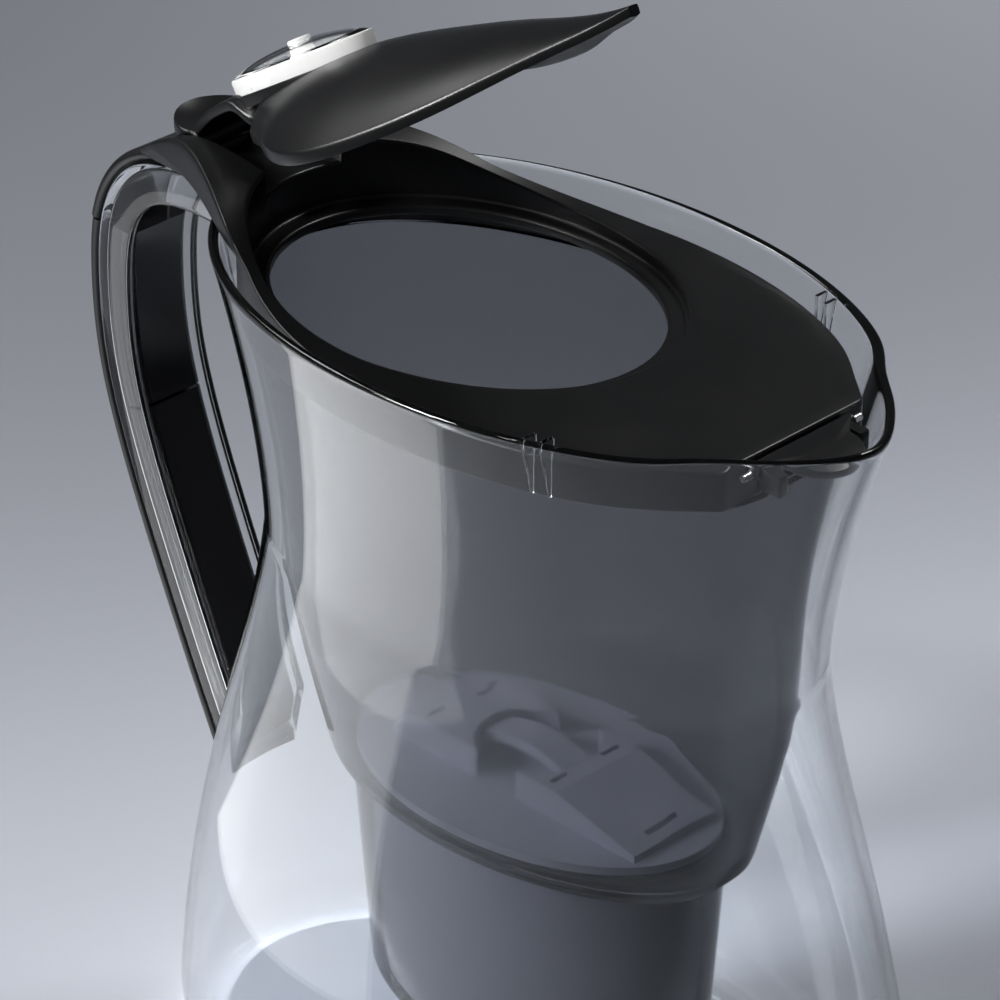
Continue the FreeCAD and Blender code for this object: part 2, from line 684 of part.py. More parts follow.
def tongue_prism(floor):
    """Plan of the saddle's tongue, which narrows from the rim to the handle, as an upright prism."""
    side = [
        (mm.tongue_root, mm.tongue_root_half_width),
        (mix(mm.tongue_root, mm.hinge_back, TONGUE_BACK_SHARE),
         mix(mm.tongue_root_half_width, mm.tongue_neck_half_width, TONGUE_NARROW_SHARE)),
        (mm.hinge_back, mm.tongue_neck_half_width),
        (tail_join, mm.tail_half_width)]
    near = Part.BSplineCurve()
    near.interpolate(Points=[V(-back, -half, floor) for back, half in side])
    far = Part.BSplineCurve()
    far.interpolate(Points=[V(-back, half, floor) for back, half in side])
    rear = Part.makeLine(V(-tail_join, -mm.tail_half_width, floor), V(-tail_join, mm.tail_half_width, floor))
    root = Part.makeLine(V(-mm.tongue_root, mm.tongue_root_half_width, floor),
                         V(-mm.tongue_root, -mm.tongue_root_half_width, floor))
    wire = Part.Wire(Part.__sortEdges__([near.toShape(), rear, far.toShape(), root]))
    return Part.Face(wire).extrude(V(0, 0, mm.saddle_height - floor + mm.overrun))


rim_pass = mm.rim_height + mm.rim_clearance
saddle = saddle_prism()
deck = form("deck", lid_plan(0, mm.hopper_top, mm.saddle_height + mm.overrun).common(saddle))
tongue = form("tongue", tongue_prism(rim_pass).common(saddle))
tail_band = handle_band(0, mm.tail_thickness, mm.tail_half_width, 0, TAIL_END_SHARE - parting_share)
tail_keep = Part.makeBox(mm.handle_reach, 2 * mm.handle_reach, 2 * mm.rim_height, V(
    -mm.rim_half_length - mm.rim_clearance - mm.handle_reach, -mm.handle_reach, 0))
tail = form("tail", tail_band.common(tail_keep))
lid_hollow = form("lid_hollow", lid_plan(
    mm.lid_wall, mm.hopper_top - mm.overrun, mm.ledge_height - mm.ledge_thickness))
lid_recess = oval_prism("lid_recess", "recess_half_length", "recess_half_width", "-opening_center",
                        "ledge_height", "saddle_height - ledge_height + overrun")
fill_opening = oval_prism("fill_opening", "opening_half_length", "opening_half_width", "-opening_center",
                          "hopper_top - overrun", "ledge_height - hopper_top + 2 * overrun")
neck_slot = box("neck_slot", "-hinge_back - neck_slot_run", "-neck_half_width - neck_gap", "neck_floor",
                "hinge_back + neck_slot_run - opening_center", "2 * (neck_half_width + neck_gap)", "saddle_height")
front_trim = box("front_trim", "lid_front", "-rim_half_width", "hopper_top - overrun", "rim_half_length",
                 "2 * rim_half_width", "rim_height")
hinge_bore = rod("hinge_bore", "hinge_pin_radius", "-hinge_back", "hinge_height", "hinge_pin_half_length")
SPOUT_AXIS = "(plateau_height - spout_flap_thickness)"
ears = []
for side in (-1, 1):
    ears.append(box(
        f"spout_ear{side + 1}", "lid_front - lid_wall",
        f"{side} * (spout_flap_root_half_width + spout_ear_gap + spout_ear_width / 2) - spout_ear_width / 2",
        f"{SPOUT_AXIS} - spout_knuckle_radius",
        "spout_hinge_reach - lid_front + lid_wall + spout_knuckle_radius", "spout_ear_width",
        "spout_knuckle_radius + spout_flap_thickness"))
PIN_HALF = "(spout_flap_root_half_width + spout_ear_gap + spout_ear_width)"
spout_bore = rod("spout_bore", "spout_pin_radius", "spout_hinge_reach", SPOUT_AXIS, PIN_HALF)
deck_trimmed = cut("deck_trimmed", deck, front_trim)
lid_block = fuse("lid_block", deck_trimmed, tongue, tail, *ears)
lid_frame = cut(
    "lid_frame", lid_block, lid_hollow, lid_recess, fill_opening, neck_slot, hinge_bore, spout_bore)
flap_hinge_pin = rod(
    "flap_hinge_pin", "hinge_pin_radius", "-hinge_back", "hinge_height", "hinge_pin_half_length")

# Fill flap, drawn about its hinge axis with its ridge along +X, then turned open.


def turn_up(thing, angle):
    """Turn a piece about the hinge axis by an angle that is a formula."""
    thing.Placement = FreeCAD.Placement(V(0, 0, 0), FreeCAD.Rotation(V(0, -1, 0), mm.flap_open_angle))
    bind(thing, "Placement.Rotation.Angle", angle)
    return thing


def on_flap(thing):
    """Set a piece that is drawn about the hinge axis onto the open flap."""
    return place(turn_up(thing, "flap_open_angle"), "-hinge_back", "0", "hinge_height")


def on_ridge(thing):
    """Set a piece of the indicator on the open flap, tilted with the leaf's rising ridge."""
    return place(turn_up(thing, "flap_open_angle + indicator_tilt"), "-hinge_back", "0", "hinge_height")


def flap_section(run_share, width_share, arch_share, crown_share, edge_share):
    """Cross-section of the leaf: two arcs joined by its edge strips."""
    along = mm.flap_length * run_share
    half = mm.flap_half_width * width_share
    ridge = mm.flap_arch * arch_share
    edge = ridge - mm.flap_crown * crown_share
    lines = []
    for drop in (0, mm.flap_thickness):
        crown = V(along, 0, ridge - drop)
        low_edge = edge - drop * edge_share
        lines.append((V(along, -half, low_edge), crown, V(along, half, low_edge)))
    high, low = lines
    return Part.Wire([
        Part.Arc(*high).toShape(), Part.makeLine(high[2], low[2]),
        Part.Arc(low[2], low[1], low[0]).toShape(), Part.makeLine(low[0], high[0])])


def tab_wire():
    """Side outline of the thumb tab behind the hinge: level when the flap is open, dished on top."""
    turn = math.radians(mm.flap_open_angle)
    way = V(-math.cos(turn), 0, math.sin(turn))
    up = V(math.sin(turn), 0, math.cos(turn))
    low = up * (mm.tab_lift - mm.tab_thickness / 2)
    high = up * (mm.tab_lift + mm.tab_thickness / 2)
    reach = way * (mm.tab_length + mm.overrun)
    middle = way * ((mm.tab_length + mm.barrel_radius) / 2) + high - up * mm.tab_dish
    root = way * mm.barrel_radius + high
    return Part.Wire([
        Part.makeLine(low, reach + low), Part.makeLine(reach + low, reach + high),
        Part.Arc(reach + high, middle, root).toShape(), Part.makeLine(root, high), Part.makeLine(high, low)])


leaf = form("leaf", Part.makeLoft([flap_section(*shares) for shares in FLAP_SHARES], True, False))
barrel = rod("barrel", "barrel_radius", "0", "0", "neck_half_width")
tab_strip = form("tab_strip", profile_prism(tab_wire(), mm.neck_half_width))
tab_round = post("tab_round", "tab_length", "0", "0", "-flap_arch", "3 * flap_arch")
tab = pair("Common", "tab", tab_strip, tab_round)
catch = box("catch", "catch_place - catch_length / 2", "-catch_half_width",
            "flap_arch - flap_thickness - catch_drop", "catch_length", "2 * catch_half_width",
            "catch_drop + flap_thickness / 2")
flap_bore = rod("flap_bore", "hinge_pin_radius + pin_fit", "0", "0", "neck_half_width + overrun")
pad = turn_up(oval_prism(
    "pad", "tray_half_length + pad_rim", "tray_half_width + pad_rim", "indicator_place", "tray_seat - pad_depth",
    "pad_depth + pad_lip"), "indicator_tilt")
tray_pocket = turn_up(oval_prism(
    "tray_pocket", "tray_half_length + tray_fit", "tray_half_width + tray_fit", "indicator_place", "tray_seat",
    "overrun"), "indicator_tilt")
flap_shell = on_flap(cut("flap_shell", fuse("flap_block", leaf, barrel, tab, catch, pad), flap_bore, tray_pocket))

# Indicator: a tray sunk in the flap, with a board, a cell, a display, a button and a clear dome.
TRAY_TOP = "(tray_seat + tray_height)"
BOARD_LOW = "(tray_seat + tray_floor)"
BOARD_TOP = f"({BOARD_LOW} + board_thickness)"
indicator_base = on_ridge(cut(
    "indicator_base",
    oval_prism("tray_outer", "tray_half_length", "tray_half_width", "indicator_place", "tray_seat",
               "tray_height"),
    oval_prism("tray_inner", "tray_half_length - tray_wall", "tray_half_width - tray_wall", "indicator_place",
               BOARD_LOW, "tray_height")))
indicator_board = on_ridge(oval_prism(
    "indicator_board", "tray_half_length - tray_wall - board_gap", "tray_half_width - tray_wall - board_gap",
    "indicator_place", BOARD_LOW, "board_thickness"))
indicator_cell = on_ridge(cut("indicator_cell", post(
    "cell_body", "cell_radius", "indicator_place - cell_place", "0", BOARD_TOP, "cell_height"), post(
    "cell_groove", "cell_radius - cell_rim", "indicator_place - cell_place", "0",
    f"{BOARD_TOP} + cell_height - cell_groove_depth", "overrun")))
indicator_display = on_ridge(pair("Common", "indicator_display", box(
    "display_plate", "indicator_place - display_half_length + display_shift", "-display_half_width",
    BOARD_TOP, "2 * display_half_length", "2 * display_half_width", "display_thickness"), oval_prism(
    "display_limit", "tray_half_length - tray_wall - board_gap", "tray_half_width - tray_wall - board_gap",
    "indicator_place", BOARD_TOP, "overrun")))


def lens_sections(inset):
    """Ellipses of the dome, drawn in towards its crown."""
    sections = []
    for rise, draw_in in LENS_SHARES:
        sides = [f"tray_{side} - lens_inset - lens_draw_in * {draw_in} - {inset}" for side in SIDES]
        sections.append(sides + ["indicator_place", f"{TRAY_TOP} + (lens_rise - {inset}) * {rise}"])
    return sections


lens_hole = post("lens_hole", "button_radius + button_gap", "indicator_place + button_place", "0", TRAY_TOP,
                 "lens_rise + overrun")
indicator_lens = on_ridge(cut(
    "indicator_lens", oval_loft("lens_outer", lens_sections("0")),
    oval_loft("lens_inner", lens_sections("lens_wall")), lens_hole))
BUTTON_LOW = f"({BOARD_TOP} + button_travel + board_gap)"
indicator_button = on_ridge(cut("indicator_button", post(
    "button_post", "button_radius", "indicator_place + button_place", "0", BUTTON_LOW, "button_height"), post(
    "button_hollow", "button_radius - button_rim", "indicator_place + button_place", "0",
    f"{BUTTON_LOW} + button_height - button_dish", "overrun")))

# Spout flap: a plate that fills the spout's mouth in front of the lid, with a knuckle on a pin.
spout_axis = mm.plateau_height - mm.spout_flap_thickness
tip_center = mm.spout_flap_tip - mm.spout_flap_tip_radius


def spout_plate():
    """Plan of the plate: straight hinge edge, straight sides and a round tip."""
    root = mm.spout_flap_root_half_width
    radius = mm.spout_flap_tip_radius
    low = spout_axis
    near_root, far_root = V(mm.spout_hinge_reach, -root, low), V(mm.spout_hinge_reach, root, low)
    near_tip, far_tip = V(tip_center, -radius, low), V(tip_center, radius, low)
    wire = Part.Wire([
        Part.makeLine(far_root, near_root), Part.makeLine(near_root, near_tip),
        Part.Arc(near_tip, V(mm.spout_flap_tip, 0, low), far_tip).toShape(),
        Part.makeLine(far_tip, far_root)])
    return Part.Face(wire).extrude(V(0, 0, mm.spout_flap_thickness))


plate = form("plate", spout_plate())
knuckle = rod(
    "knuckle", "spout_knuckle_radius", "spout_hinge_reach", SPOUT_AXIS, "spout_flap_root_half_width")
lugs = []
for side in (-1, 1):
    lugs.append(box(
        f"lug{side + 1}", "spout_hinge_reach",
        f"{side} * (spout_flap_root_half_width - lug_width) - lug_width / 2", f"{SPOUT_AXIS} - lug_drop",
        "spout_knuckle_radius + lug_length", "lug_width", "lug_drop + spout_flap_thickness / 2"))
spout_pin_bore = rod("spout_pin_bore", "spout_pin_radius + pin_fit", "spout_hinge_reach", SPOUT_AXIS,
                     "spout_flap_root_half_width + overrun")
spout_flap = cut("spout_flap", fuse("spout_flap_block", plate, knuckle, *lugs), spout_pin_bore)
spout_flap_pin = rod("spout_flap_pin", "spout_pin_radius", "spout_hinge_reach", SPOUT_AXIS, PIN_HALF)

PIECES = [
    jug_body, handle_shell, handle_core_upper, handle_core_lower, handle_strip,
    funnel_hopper, cartridge_cup,
    cartridge_shell, cartridge_cap, pull_loop, cartridge_seal, filter_media, inlet_screen, outlet_screen,
    lid_frame, flap_hinge_pin,
    flap_shell, indicator_base, indicator_lens, indicator_display, indicator_board, indicator_cell,
    indicator_button, spout_flap, spout_flap_pin]

doc.recompute()
failed = [thing.Name for thing in doc.Objects if {"Invalid", "Error"} & set(thing.State)]
if failed:
    raise RuntimeError("these did not build: " + ", ".join(failed))
for piece in PIECES:
    if piece.Shape.isNull() or not piece.Shape.isValid():
        raise RuntimeError("bad shape: " + piece.Label)
    print(f"{piece.Label}: {len(piece.Shape.Solids)} solid, {piece.Shape.Volume / 1000:.2f} cm3")
    piece.Shape.exportStep(os.path.join("parts", piece.Label + ".step"))
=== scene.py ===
# %% [markdown]
# # A water filter pitcher, dressed for its picture
# The frame holds the measured solids of the pitcher. This lesson gives them their looks: smooth clear walls,
# a smoky funnel and satin black mouldings. A clear wall shows every flat facet as a kink in what lies behind
# it, so the large pieces are made again as fine grids of points, each worked out by a formula.

import math

import bpy
import numpy as np
from mathutils import Matrix


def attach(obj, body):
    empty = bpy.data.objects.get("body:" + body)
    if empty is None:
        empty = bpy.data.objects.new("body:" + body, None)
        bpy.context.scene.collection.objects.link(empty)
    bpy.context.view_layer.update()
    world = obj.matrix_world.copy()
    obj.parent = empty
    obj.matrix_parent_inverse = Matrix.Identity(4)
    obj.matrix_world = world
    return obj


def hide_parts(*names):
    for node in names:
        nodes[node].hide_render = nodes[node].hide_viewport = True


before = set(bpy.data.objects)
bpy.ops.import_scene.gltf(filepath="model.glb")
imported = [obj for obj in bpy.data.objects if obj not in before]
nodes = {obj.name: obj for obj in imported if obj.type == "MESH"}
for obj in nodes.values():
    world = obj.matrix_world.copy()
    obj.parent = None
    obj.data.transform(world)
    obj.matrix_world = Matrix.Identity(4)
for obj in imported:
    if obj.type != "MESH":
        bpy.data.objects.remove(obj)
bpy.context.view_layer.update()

# %% [markdown]
# ## Grids, rounded outlines and smooth lines
# Every new piece is a grid: rows of points that follow a shape, with quads between them. Blender could also
# model these by hand, but a formula keeps a wall evenly thick and a curve fair. Sizes are in millimetres,
# measured from the middle of the base, and become metres when a mesh is made.

# %% Grid helpers
MM = 0.001
SHARP_ANGLE = math.radians(42)
TINY, CORNER_LIMIT_SHARE, FULL_ROUND = 1e-9, 0.49, 30.0


def grid_faces(rows, columns, close_rows):
    """Quads (i, j), (i, j+1), (i+1, j+1), (i+1, j). The columns always run round; the rows may."""
    i = np.arange(rows if close_rows else rows - 1)
    i, j = np.meshgrid(i, np.arange(columns), indexing="ij")
    next_i, next_j = (i + 1) % rows, (j + 1) % columns
    corners = [i * columns + j, i * columns + next_j, next_i * columns + next_j, next_i * columns + j]
    return np.stack(corners, -1).reshape(-1, 4)


def cap_faces(columns, start, centre):
    """Triangles from the ring of columns at start to a centre point."""
    j = np.arange(columns)
    return np.stack([start + j, np.full(columns, centre), start + (j + 1) % columns], -1)


def signed_volume(points, triangles):
    """Sum of a . (b x c) / 6 over the triangles: above zero where the faces look outwards."""
    a, b, c = (points[triangles[:, k]] for k in range(3))
    return np.einsum("ij,ij->i", a, np.cross(b, c)).sum() / 6


def closed_surface(grid, close_rows=False):
    """Points, quads and cap triangles of a closed skin over a grid, with its faces turned outwards."""
    rows, columns = grid.shape[:2]
    points = grid.reshape(-1, 3)
    quads = grid_faces(rows, columns, close_rows)
    caps = np.empty((0, 3), int)
    if not close_rows:
        last = (rows - 1) * columns
        points = np.vstack([points, grid[0].mean(0), grid[-1].mean(0)])
        caps = np.vstack([cap_faces(columns, 0, rows * columns),
                          cap_faces(columns, last, rows * columns + 1)[:, ::-1]])
    triangles = np.vstack([quads[:, [0, 1, 2]], quads[:, [0, 2, 3]], caps])
    if signed_volume(points, triangles) < 0:
        quads, caps = quads[:, ::-1], caps[:, ::-1]
    return points, quads, caps


def add_piece(name, surfaces, material, body, stands_for=()):
    """One object of closed surfaces, which rides a body and may stand for solids of the frame."""
    points, faces, count = [], [], 0
    for surface, quads, caps in surfaces:
        points.append(surface)
        faces += (quads + count).tolist() + (caps + count).tolist()
        count += len(surface)
    mesh = bpy.data.meshes.new(name)
    mesh.from_pydata((np.vstack(points) * MM).tolist(), [], faces)
    mesh.shade_smooth()
    mesh.set_sharp_from_angle(angle=SHARP_ANGLE)
    piece = bpy.data.objects.new(name, mesh)
    bpy.context.scene.collection.objects.link(piece)
    mesh.materials.append(material)
    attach(piece, body)
    if stands_for:
        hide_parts(*stands_for)
    print(f"{name}: {len(mesh.vertices)} points, {len(mesh.polygons)} faces, on {body}")
    return piece


def rounded(corners, radius, steps=5):
    """A closed outline whose corner P becomes (1-t)^2 A + 2t(1-t) P + t^2 B, with A and B a radius from P."""

    def reach(side):
        length = np.linalg.norm(side, axis=-1, keepdims=True)
        return side / np.maximum(length, TINY) * np.minimum(radius, CORNER_LIMIT_SHARE * length)

    start = corners + reach(np.roll(corners, 1, axis=-2) - corners)
    end = corners + reach(np.roll(corners, -1, axis=-2) - corners)
    t = np.linspace(0, 1, steps)[:, None]
    curve = ((1 - t) ** 2 * start[..., None, :] + 2 * t * (1 - t) * corners[..., None, :]
             + t ** 2 * end[..., None, :])
    return curve.reshape(*corners.shape[:-2], -1, corners.shape[-1])


def smooth_values(knots, values, at):
    """Natural cubic spline: the bend at each knot solves the three-term equations and is zero at the ends."""
    knots, values = np.asarray(knots, float), np.asarray(values, float)
    gap = np.diff(knots)
    inner = np.arange(1, len(knots) - 1)
    terms = np.eye(len(knots))
    terms[inner, inner - 1] = gap[:-1]
    terms[inner, inner] = 2 * (gap[:-1] + gap[1:])
    terms[inner, inner + 1] = gap[1:]
    right_side = np.zeros_like(values)
    right_side[1:-1] = 6 * np.diff(np.diff(values, axis=0) / gap[:, None], axis=0)
    bend = np.linalg.solve(terms, right_side)
    k = np.clip(np.searchsorted(knots, at) - 1, 0, len(gap) - 1)
    step = gap[k][:, None]
    left, right = (at - knots[k])[:, None], (knots[k + 1] - at)[:, None]
    return ((bend[k] * right ** 3 + bend[k + 1] * left ** 3) / (6 * step)
            + (values[k] / step - bend[k] * step / 6) * right
            + (values[k + 1] / step - bend[k + 1] * step / 6) * left)


def smooth_line(points, samples):
    """A natural cubic spline through points, over the length of the chords between them."""
    points = np.asarray(points, float)
    chord = np.r_[0, np.cumsum(np.linalg.norm(np.diff(points, axis=0), axis=1))]
    return smooth_values(chord, points, np.linspace(0, chord[-1], samples))


def mix(low, high, share):
    """The value a share of the way from low to high."""
    return low + (high - low) * share


# %% [markdown]
# ## Finishes
# The pitcher is mostly moulded plastic. Clear and smoky plastic bend and tint light, so they use transmission
# with the plastic's own index of refraction. Plain see-through surfaces would render faster, but would show
# no bright edges. Lamp light is let straight through the clear walls, because a bent path to a small lamp is
# hardly ever found by chance. Satin black shows only by its highlights, so its roughness varies a little and
# a fine grain breaks the light up. The dome's index is lower than real plastic's, because otherwise the tray
# under it came out too dark.

# %% Finish helpers
PLASTIC_IOR, DOME_IOR = 1.49, 1.15


def finish(name, color, roughness, **sockets):
    """A material on the principled shader. Values that are the same all over are set on its sockets."""
    material = bpy.data.materials.new(name)
    material.use_nodes = True
    shader = material.node_tree.nodes["Principled BSDF"]
    shader.inputs["Base Color"].default_value = (*color, 1.0)
    shader.inputs["Roughness"].default_value = roughness
    shader.inputs["IOR"].default_value = PLASTIC_IOR
    for socket, value in sockets.items():
        shader.inputs[socket.replace("_", " ")].default_value = value
    return material


def texture(material, scale, detail):
    """A noise texture on Object coordinates, with a size in turns per metre."""
    tree = material.node_tree
    place = tree.nodes.new("ShaderNodeTexCoord")
    noise = tree.nodes.new("ShaderNodeTexNoise")
    noise.inputs["Scale"].default_value = scale
    noise.inputs["Detail"].default_value = detail
    tree.links.new(place.outputs["Object"], noise.inputs["Vector"])
    return noise


def vary_roughness(material, low, high, scale):
    """Roughness wanders between two values, as on handled plastic."""
    tree = material.node_tree
    span = tree.nodes.new("ShaderNodeMapRange")
    span.inputs["From Min"].default_value = 0.3
    span.inputs["From Max"].default_value = 0.7
    span.inputs["To Min"].default_value = low
    span.inputs["To Max"].default_value = high
    tree.links.new(texture(material, scale, 3).outputs["Fac"], span.inputs["Value"])
    tree.links.new(span.outputs["Result"], tree.nodes["Principled BSDF"].inputs["Roughness"])


def grain(material, scale, height):
    """A fine moulded grain, as bump of a height in metres."""
    tree = material.node_tree
    bump = tree.nodes.new("ShaderNodeBump")
    bump.inputs["Strength"].default_value = 1.0
    bump.inputs["Distance"].default_value = height
    tree.links.new(texture(material, scale, 2).outputs["Fac"], bump.inputs["Height"])
    tree.links.new(bump.outputs["Normal"], tree.nodes["Principled BSDF"].inputs["Normal"])


def tint(material, dark, light, scale):
    """The colour wanders between two tints."""
    tree = material.node_tree
    ramp = tree.nodes.new("ShaderNodeValToRGB")
    ramp.color_ramp.elements[0].position = 0.35
    ramp.color_ramp.elements[0].color = (*dark, 1.0)
    ramp.color_ramp.elements[1].position = 0.65
    ramp.color_ramp.elements[1].color = (*light, 1.0)
    tree.links.new(texture(material, scale, 4).outputs["Fac"], ramp.inputs["Fac"])
    tree.links.new(ramp.outputs["Color"], tree.nodes["Principled BSDF"].inputs["Base Color"])


def darken_inside(material, density):
    """Light dies off as exp(-density * length) inside the plastic, so that thick edges turn black."""
    tree = material.node_tree
    smoke = tree.nodes.new("ShaderNodeVolumeAbsorption")
    smoke.inputs["Color"].default_value = (0.0, 0.0, 0.05, 1.0)
    smoke.inputs["Density"].default_value = density
    tree.links.new(smoke.outputs["Volume"], tree.nodes["Material Output"].inputs["Volume"])


def let_light_through(material, color):
    """Lamp light passes straight through a clear wall, tinted by a colour at each of its two sides."""
    tree = material.node_tree
    path = tree.nodes.new("ShaderNodeLightPath")
    straight = tree.nodes.new("ShaderNodeBsdfTransparent")
    straight.inputs["Color"].default_value = (*color, 1.0)
    blend = tree.nodes.new("ShaderNodeMixShader")
    tree.links.new(path.outputs["Is Shadow Ray"], blend.inputs[0])
    tree.links.new(tree.nodes["Principled BSDF"].outputs["BSDF"], blend.inputs[1])
    tree.links.new(straight.outputs["BSDF"], blend.inputs[2])
    tree.links.new(blend.outputs["Shader"], tree.nodes["Material Output"].inputs["Surface"])


# %% The finishes
clear_plastic = finish("clear_plastic", (0.97, 0.985, 0.99), 0.02, Transmission_Weight=1.0)
vary_roughness(clear_plastic, 0.01, 0.04, 30)
let_light_through(clear_plastic, (0.93, 0.94, 0.95))

smoky_plastic = finish("smoky_plastic", (0.62, 0.62, 0.64), 0.05, Transmission_Weight=1.0)
vary_roughness(smoky_plastic, 0.04, 0.08, 25)
darken_inside(smoky_plastic, 330.0)
let_light_through(smoky_plastic, (0.9, 0.9, 0.92))

satin_black = finish("satin_black", (0.005, 0.0052, 0.0055), 0.33)
vary_roughness(satin_black, 0.28, 0.36, 40)
grain(satin_black, 2500, 0.00002)

gloss_black = finish("gloss_black", (0.006, 0.006, 0.007), 0.12)
vary_roughness(gloss_black, 0.08, 0.16, 40)

cartridge_grey = finish("cartridge_grey", (0.66, 0.68, 0.76), 0.42)
tint(cartridge_grey, (0.63, 0.65, 0.73), (0.69, 0.71, 0.79), 60)
grain(cartridge_grey, 1800, 0.00002)

white_plastic = finish("white_plastic", (0.82, 0.82, 0.81), 0.28)
vary_roughness(white_plastic, 0.22, 0.34, 60)

lens_clear = finish("lens_clear", (0.98, 0.99, 1.0), 0.015, Transmission_Weight=1.0, IOR=DOME_IOR)
vary_roughness(lens_clear, 0.01, 0.03, 60)
let_light_through(lens_clear, (0.95, 0.95, 0.95))

seal_rubber = finish("seal_rubber", (0.03, 0.03, 0.03), 0.6)
grain(seal_rubber, 1500, 0.00003)

media_granules = finish("media_granules", (0.08, 0.06, 0.05), 0.85)
tint(media_granules, (0.02, 0.018, 0.016), (0.16, 0.12, 0.08), 900)
grain(media_granules, 900, 0.0004)

screen_mesh = finish("screen_mesh", (0.75, 0.75, 0.74), 0.7)
grain(screen_mesh, 1400, 0.0002)

display_glass = finish("display_glass", (0.42, 0.47, 0.42), 0.15)
vary_roughness(display_glass, 0.12, 0.2, 80)
board_green = finish("board_green", (0.02, 0.15, 0.07), 0.4)
tint(board_green, (0.015, 0.12, 0.05), (0.03, 0.18, 0.08), 400)

steel = finish("steel", (0.6, 0.6, 0.61), 0.3, Metallic=1.0)
vary_roughness(steel, 0.22, 0.4, 300)

SOLID_FINISHES = {
    "cartridge_shell": cartridge_grey, "cartridge_cap": cartridge_grey, "pull_loop": cartridge_grey,
    "cartridge_seal": seal_rubber, "filter_media": media_granules, "inlet_screen": screen_mesh,
    "outlet_screen": screen_mesh, "indicator_display": display_glass, "indicator_board": board_green,
    "indicator_cell": steel, "flap_hinge_pin": steel, "spout_flap_pin": steel}
for node, material in SOLID_FINISHES.items():
    nodes[node].data.materials.clear()
    nodes[node].data.materials.append(material)
print("finishes on kept solids:", len(SOLID_FINISHES))

# %% [markdown]
# ## The clear jug
# The jug is an oval whose length and width change with height: a rounded foot, a wide flare, a waist and an
# open neck. Near the rim the oval runs out into a spout, pinched at both sides. The spout could be pulled out
# of a turned shape by hand, but a formula for the outline at every height keeps the wall even. One closed skin
# covers the outside, the rounded rim, the inside and the floor, so that light is bent by a true wall. Four
# small ribs stand under the rim.

# %% Jug form
RIM_HEIGHT, WAIST_HEIGHT, FLARE_HEIGHT = 235.0, 159.0, 18.0
RIM, WAIST, FLARE, BASE = (95.0, 59.5), (82.0, 49.0), (112.0, 70.5), (100.0, 58.5)
JUG_WALL, BASE_THICKNESS = 2.6, 3.2
SPOUT_REACH, SPOUT_HALF_WIDTH, SPOUT_FOOT = 8.0, 17.0, 150.0
PINCH, PINCH_PLACE, PINCH_WIDTH, SPOUT_SIDE_SHARE = 2.5, 30.0, 8.0, 0.2
BODY_STRAIGHT_SHARE, BODY_BEND_POWER, NECK_BEND_POWER, SPOUT_FADE_POWER = 0.5, 1.3, 1.6, 1.3


def jug_half(height, side):
    """Half length (side 0) or half width (side 1): a quarter circle, an S, then a power curve to the rim."""
    foot = np.sqrt(np.clip(1 - (1 - height / FLARE_HEIGHT) ** 2, 0, 1))
    run = np.clip((height - FLARE_HEIGHT) / (WAIST_HEIGHT - FLARE_HEIGHT), 0, 1)
    bend = run ** BODY_BEND_POWER
    body = mix(bend * bend * (3 - 2 * bend), run, BODY_STRAIGHT_SHARE)
    neck = np.clip((height - WAIST_HEIGHT) / (RIM_HEIGHT - WAIST_HEIGHT), 0, None) ** NECK_BEND_POWER
    return np.select(
        [height < FLARE_HEIGHT, height < WAIST_HEIGHT],
        [mix(BASE[side], FLARE[side], foot), mix(FLARE[side], WAIST[side], body)],
        mix(WAIST[side], RIM[side], neck))


def jug_outline(height, inset, turn):
    """Oval (a cos t, b sin t) with a bell-shaped spout and two pinches that fade in with height."""
    along = (jug_half(height, 0) - inset) * np.cos(turn)
    across = (jug_half(height, 1) - inset) * np.sin(turn)
    fade = np.clip((height - SPOUT_FOOT) / (RIM_HEIGHT - SPOUT_FOOT), 0, None) ** SPOUT_FADE_POWER
    lip = SPOUT_REACH * np.exp(-(across / SPOUT_HALF_WIDTH) ** 2)
    pinch = PINCH * np.exp(-((np.abs(across) - PINCH_PLACE) / PINCH_WIDTH) ** 2)
    front = np.clip(np.cos(turn) / SPOUT_SIDE_SHARE, 0, 1)
    return along + (lip - pinch) * fade * front, across


# %% Jug skin
JUG_TURNS, FOOT_ROWS, WALL_ROWS, RIM_ROWS = 320, 14, 120, 11
FLOOR_RING_SHARES, INNER_FOOT_GAP = (0.05, 0.6), 1.0
RIM_ROUND = JUG_WALL / 2
turn = np.linspace(0, 2 * np.pi, JUG_TURNS, endpoint=False)
half_turn = np.linspace(0, np.pi, RIM_ROWS)
foot_rise = FLARE_HEIGHT * (1 - np.cos(np.linspace(0, np.pi / 2, FOOT_ROWS)))
wall_rise = np.linspace(FLARE_HEIGHT, RIM_HEIGHT - RIM_ROUND, WALL_ROWS)[1:]
rim_rise = RIM_HEIGHT - RIM_ROUND + RIM_ROUND * np.sin(half_turn)[1:-1]
inner_foot = foot_rise[foot_rise > BASE_THICKNESS + INNER_FOOT_GAP]
inner_rise = np.r_[wall_rise[::-1], inner_foot[::-1], BASE_THICKNESS]
height = np.r_[0, 0, foot_rise, wall_rise, rim_rise, inner_rise, BASE_THICKNESS, BASE_THICKNESS]
outer_rows = 2 + len(foot_rise) + len(wall_rise)
inset = np.r_[np.zeros(outer_rows), RIM_ROUND * (1 - np.cos(half_turn))[1:-1],
              np.full(len(inner_rise) + 2, JUG_WALL)]
spread = np.ones(len(height))
spread[:2], spread[-2:] = FLOOR_RING_SHARES, FLOOR_RING_SHARES[::-1]
x, y = jug_outline(height[:, None], inset[:, None], turn[None, :])
jug_grid = np.stack([x * spread[:, None], y * spread[:, None], np.broadcast_to(height[:, None], x.shape)], -1)
print("jug skin, rows and columns:", jug_grid.shape[:2])

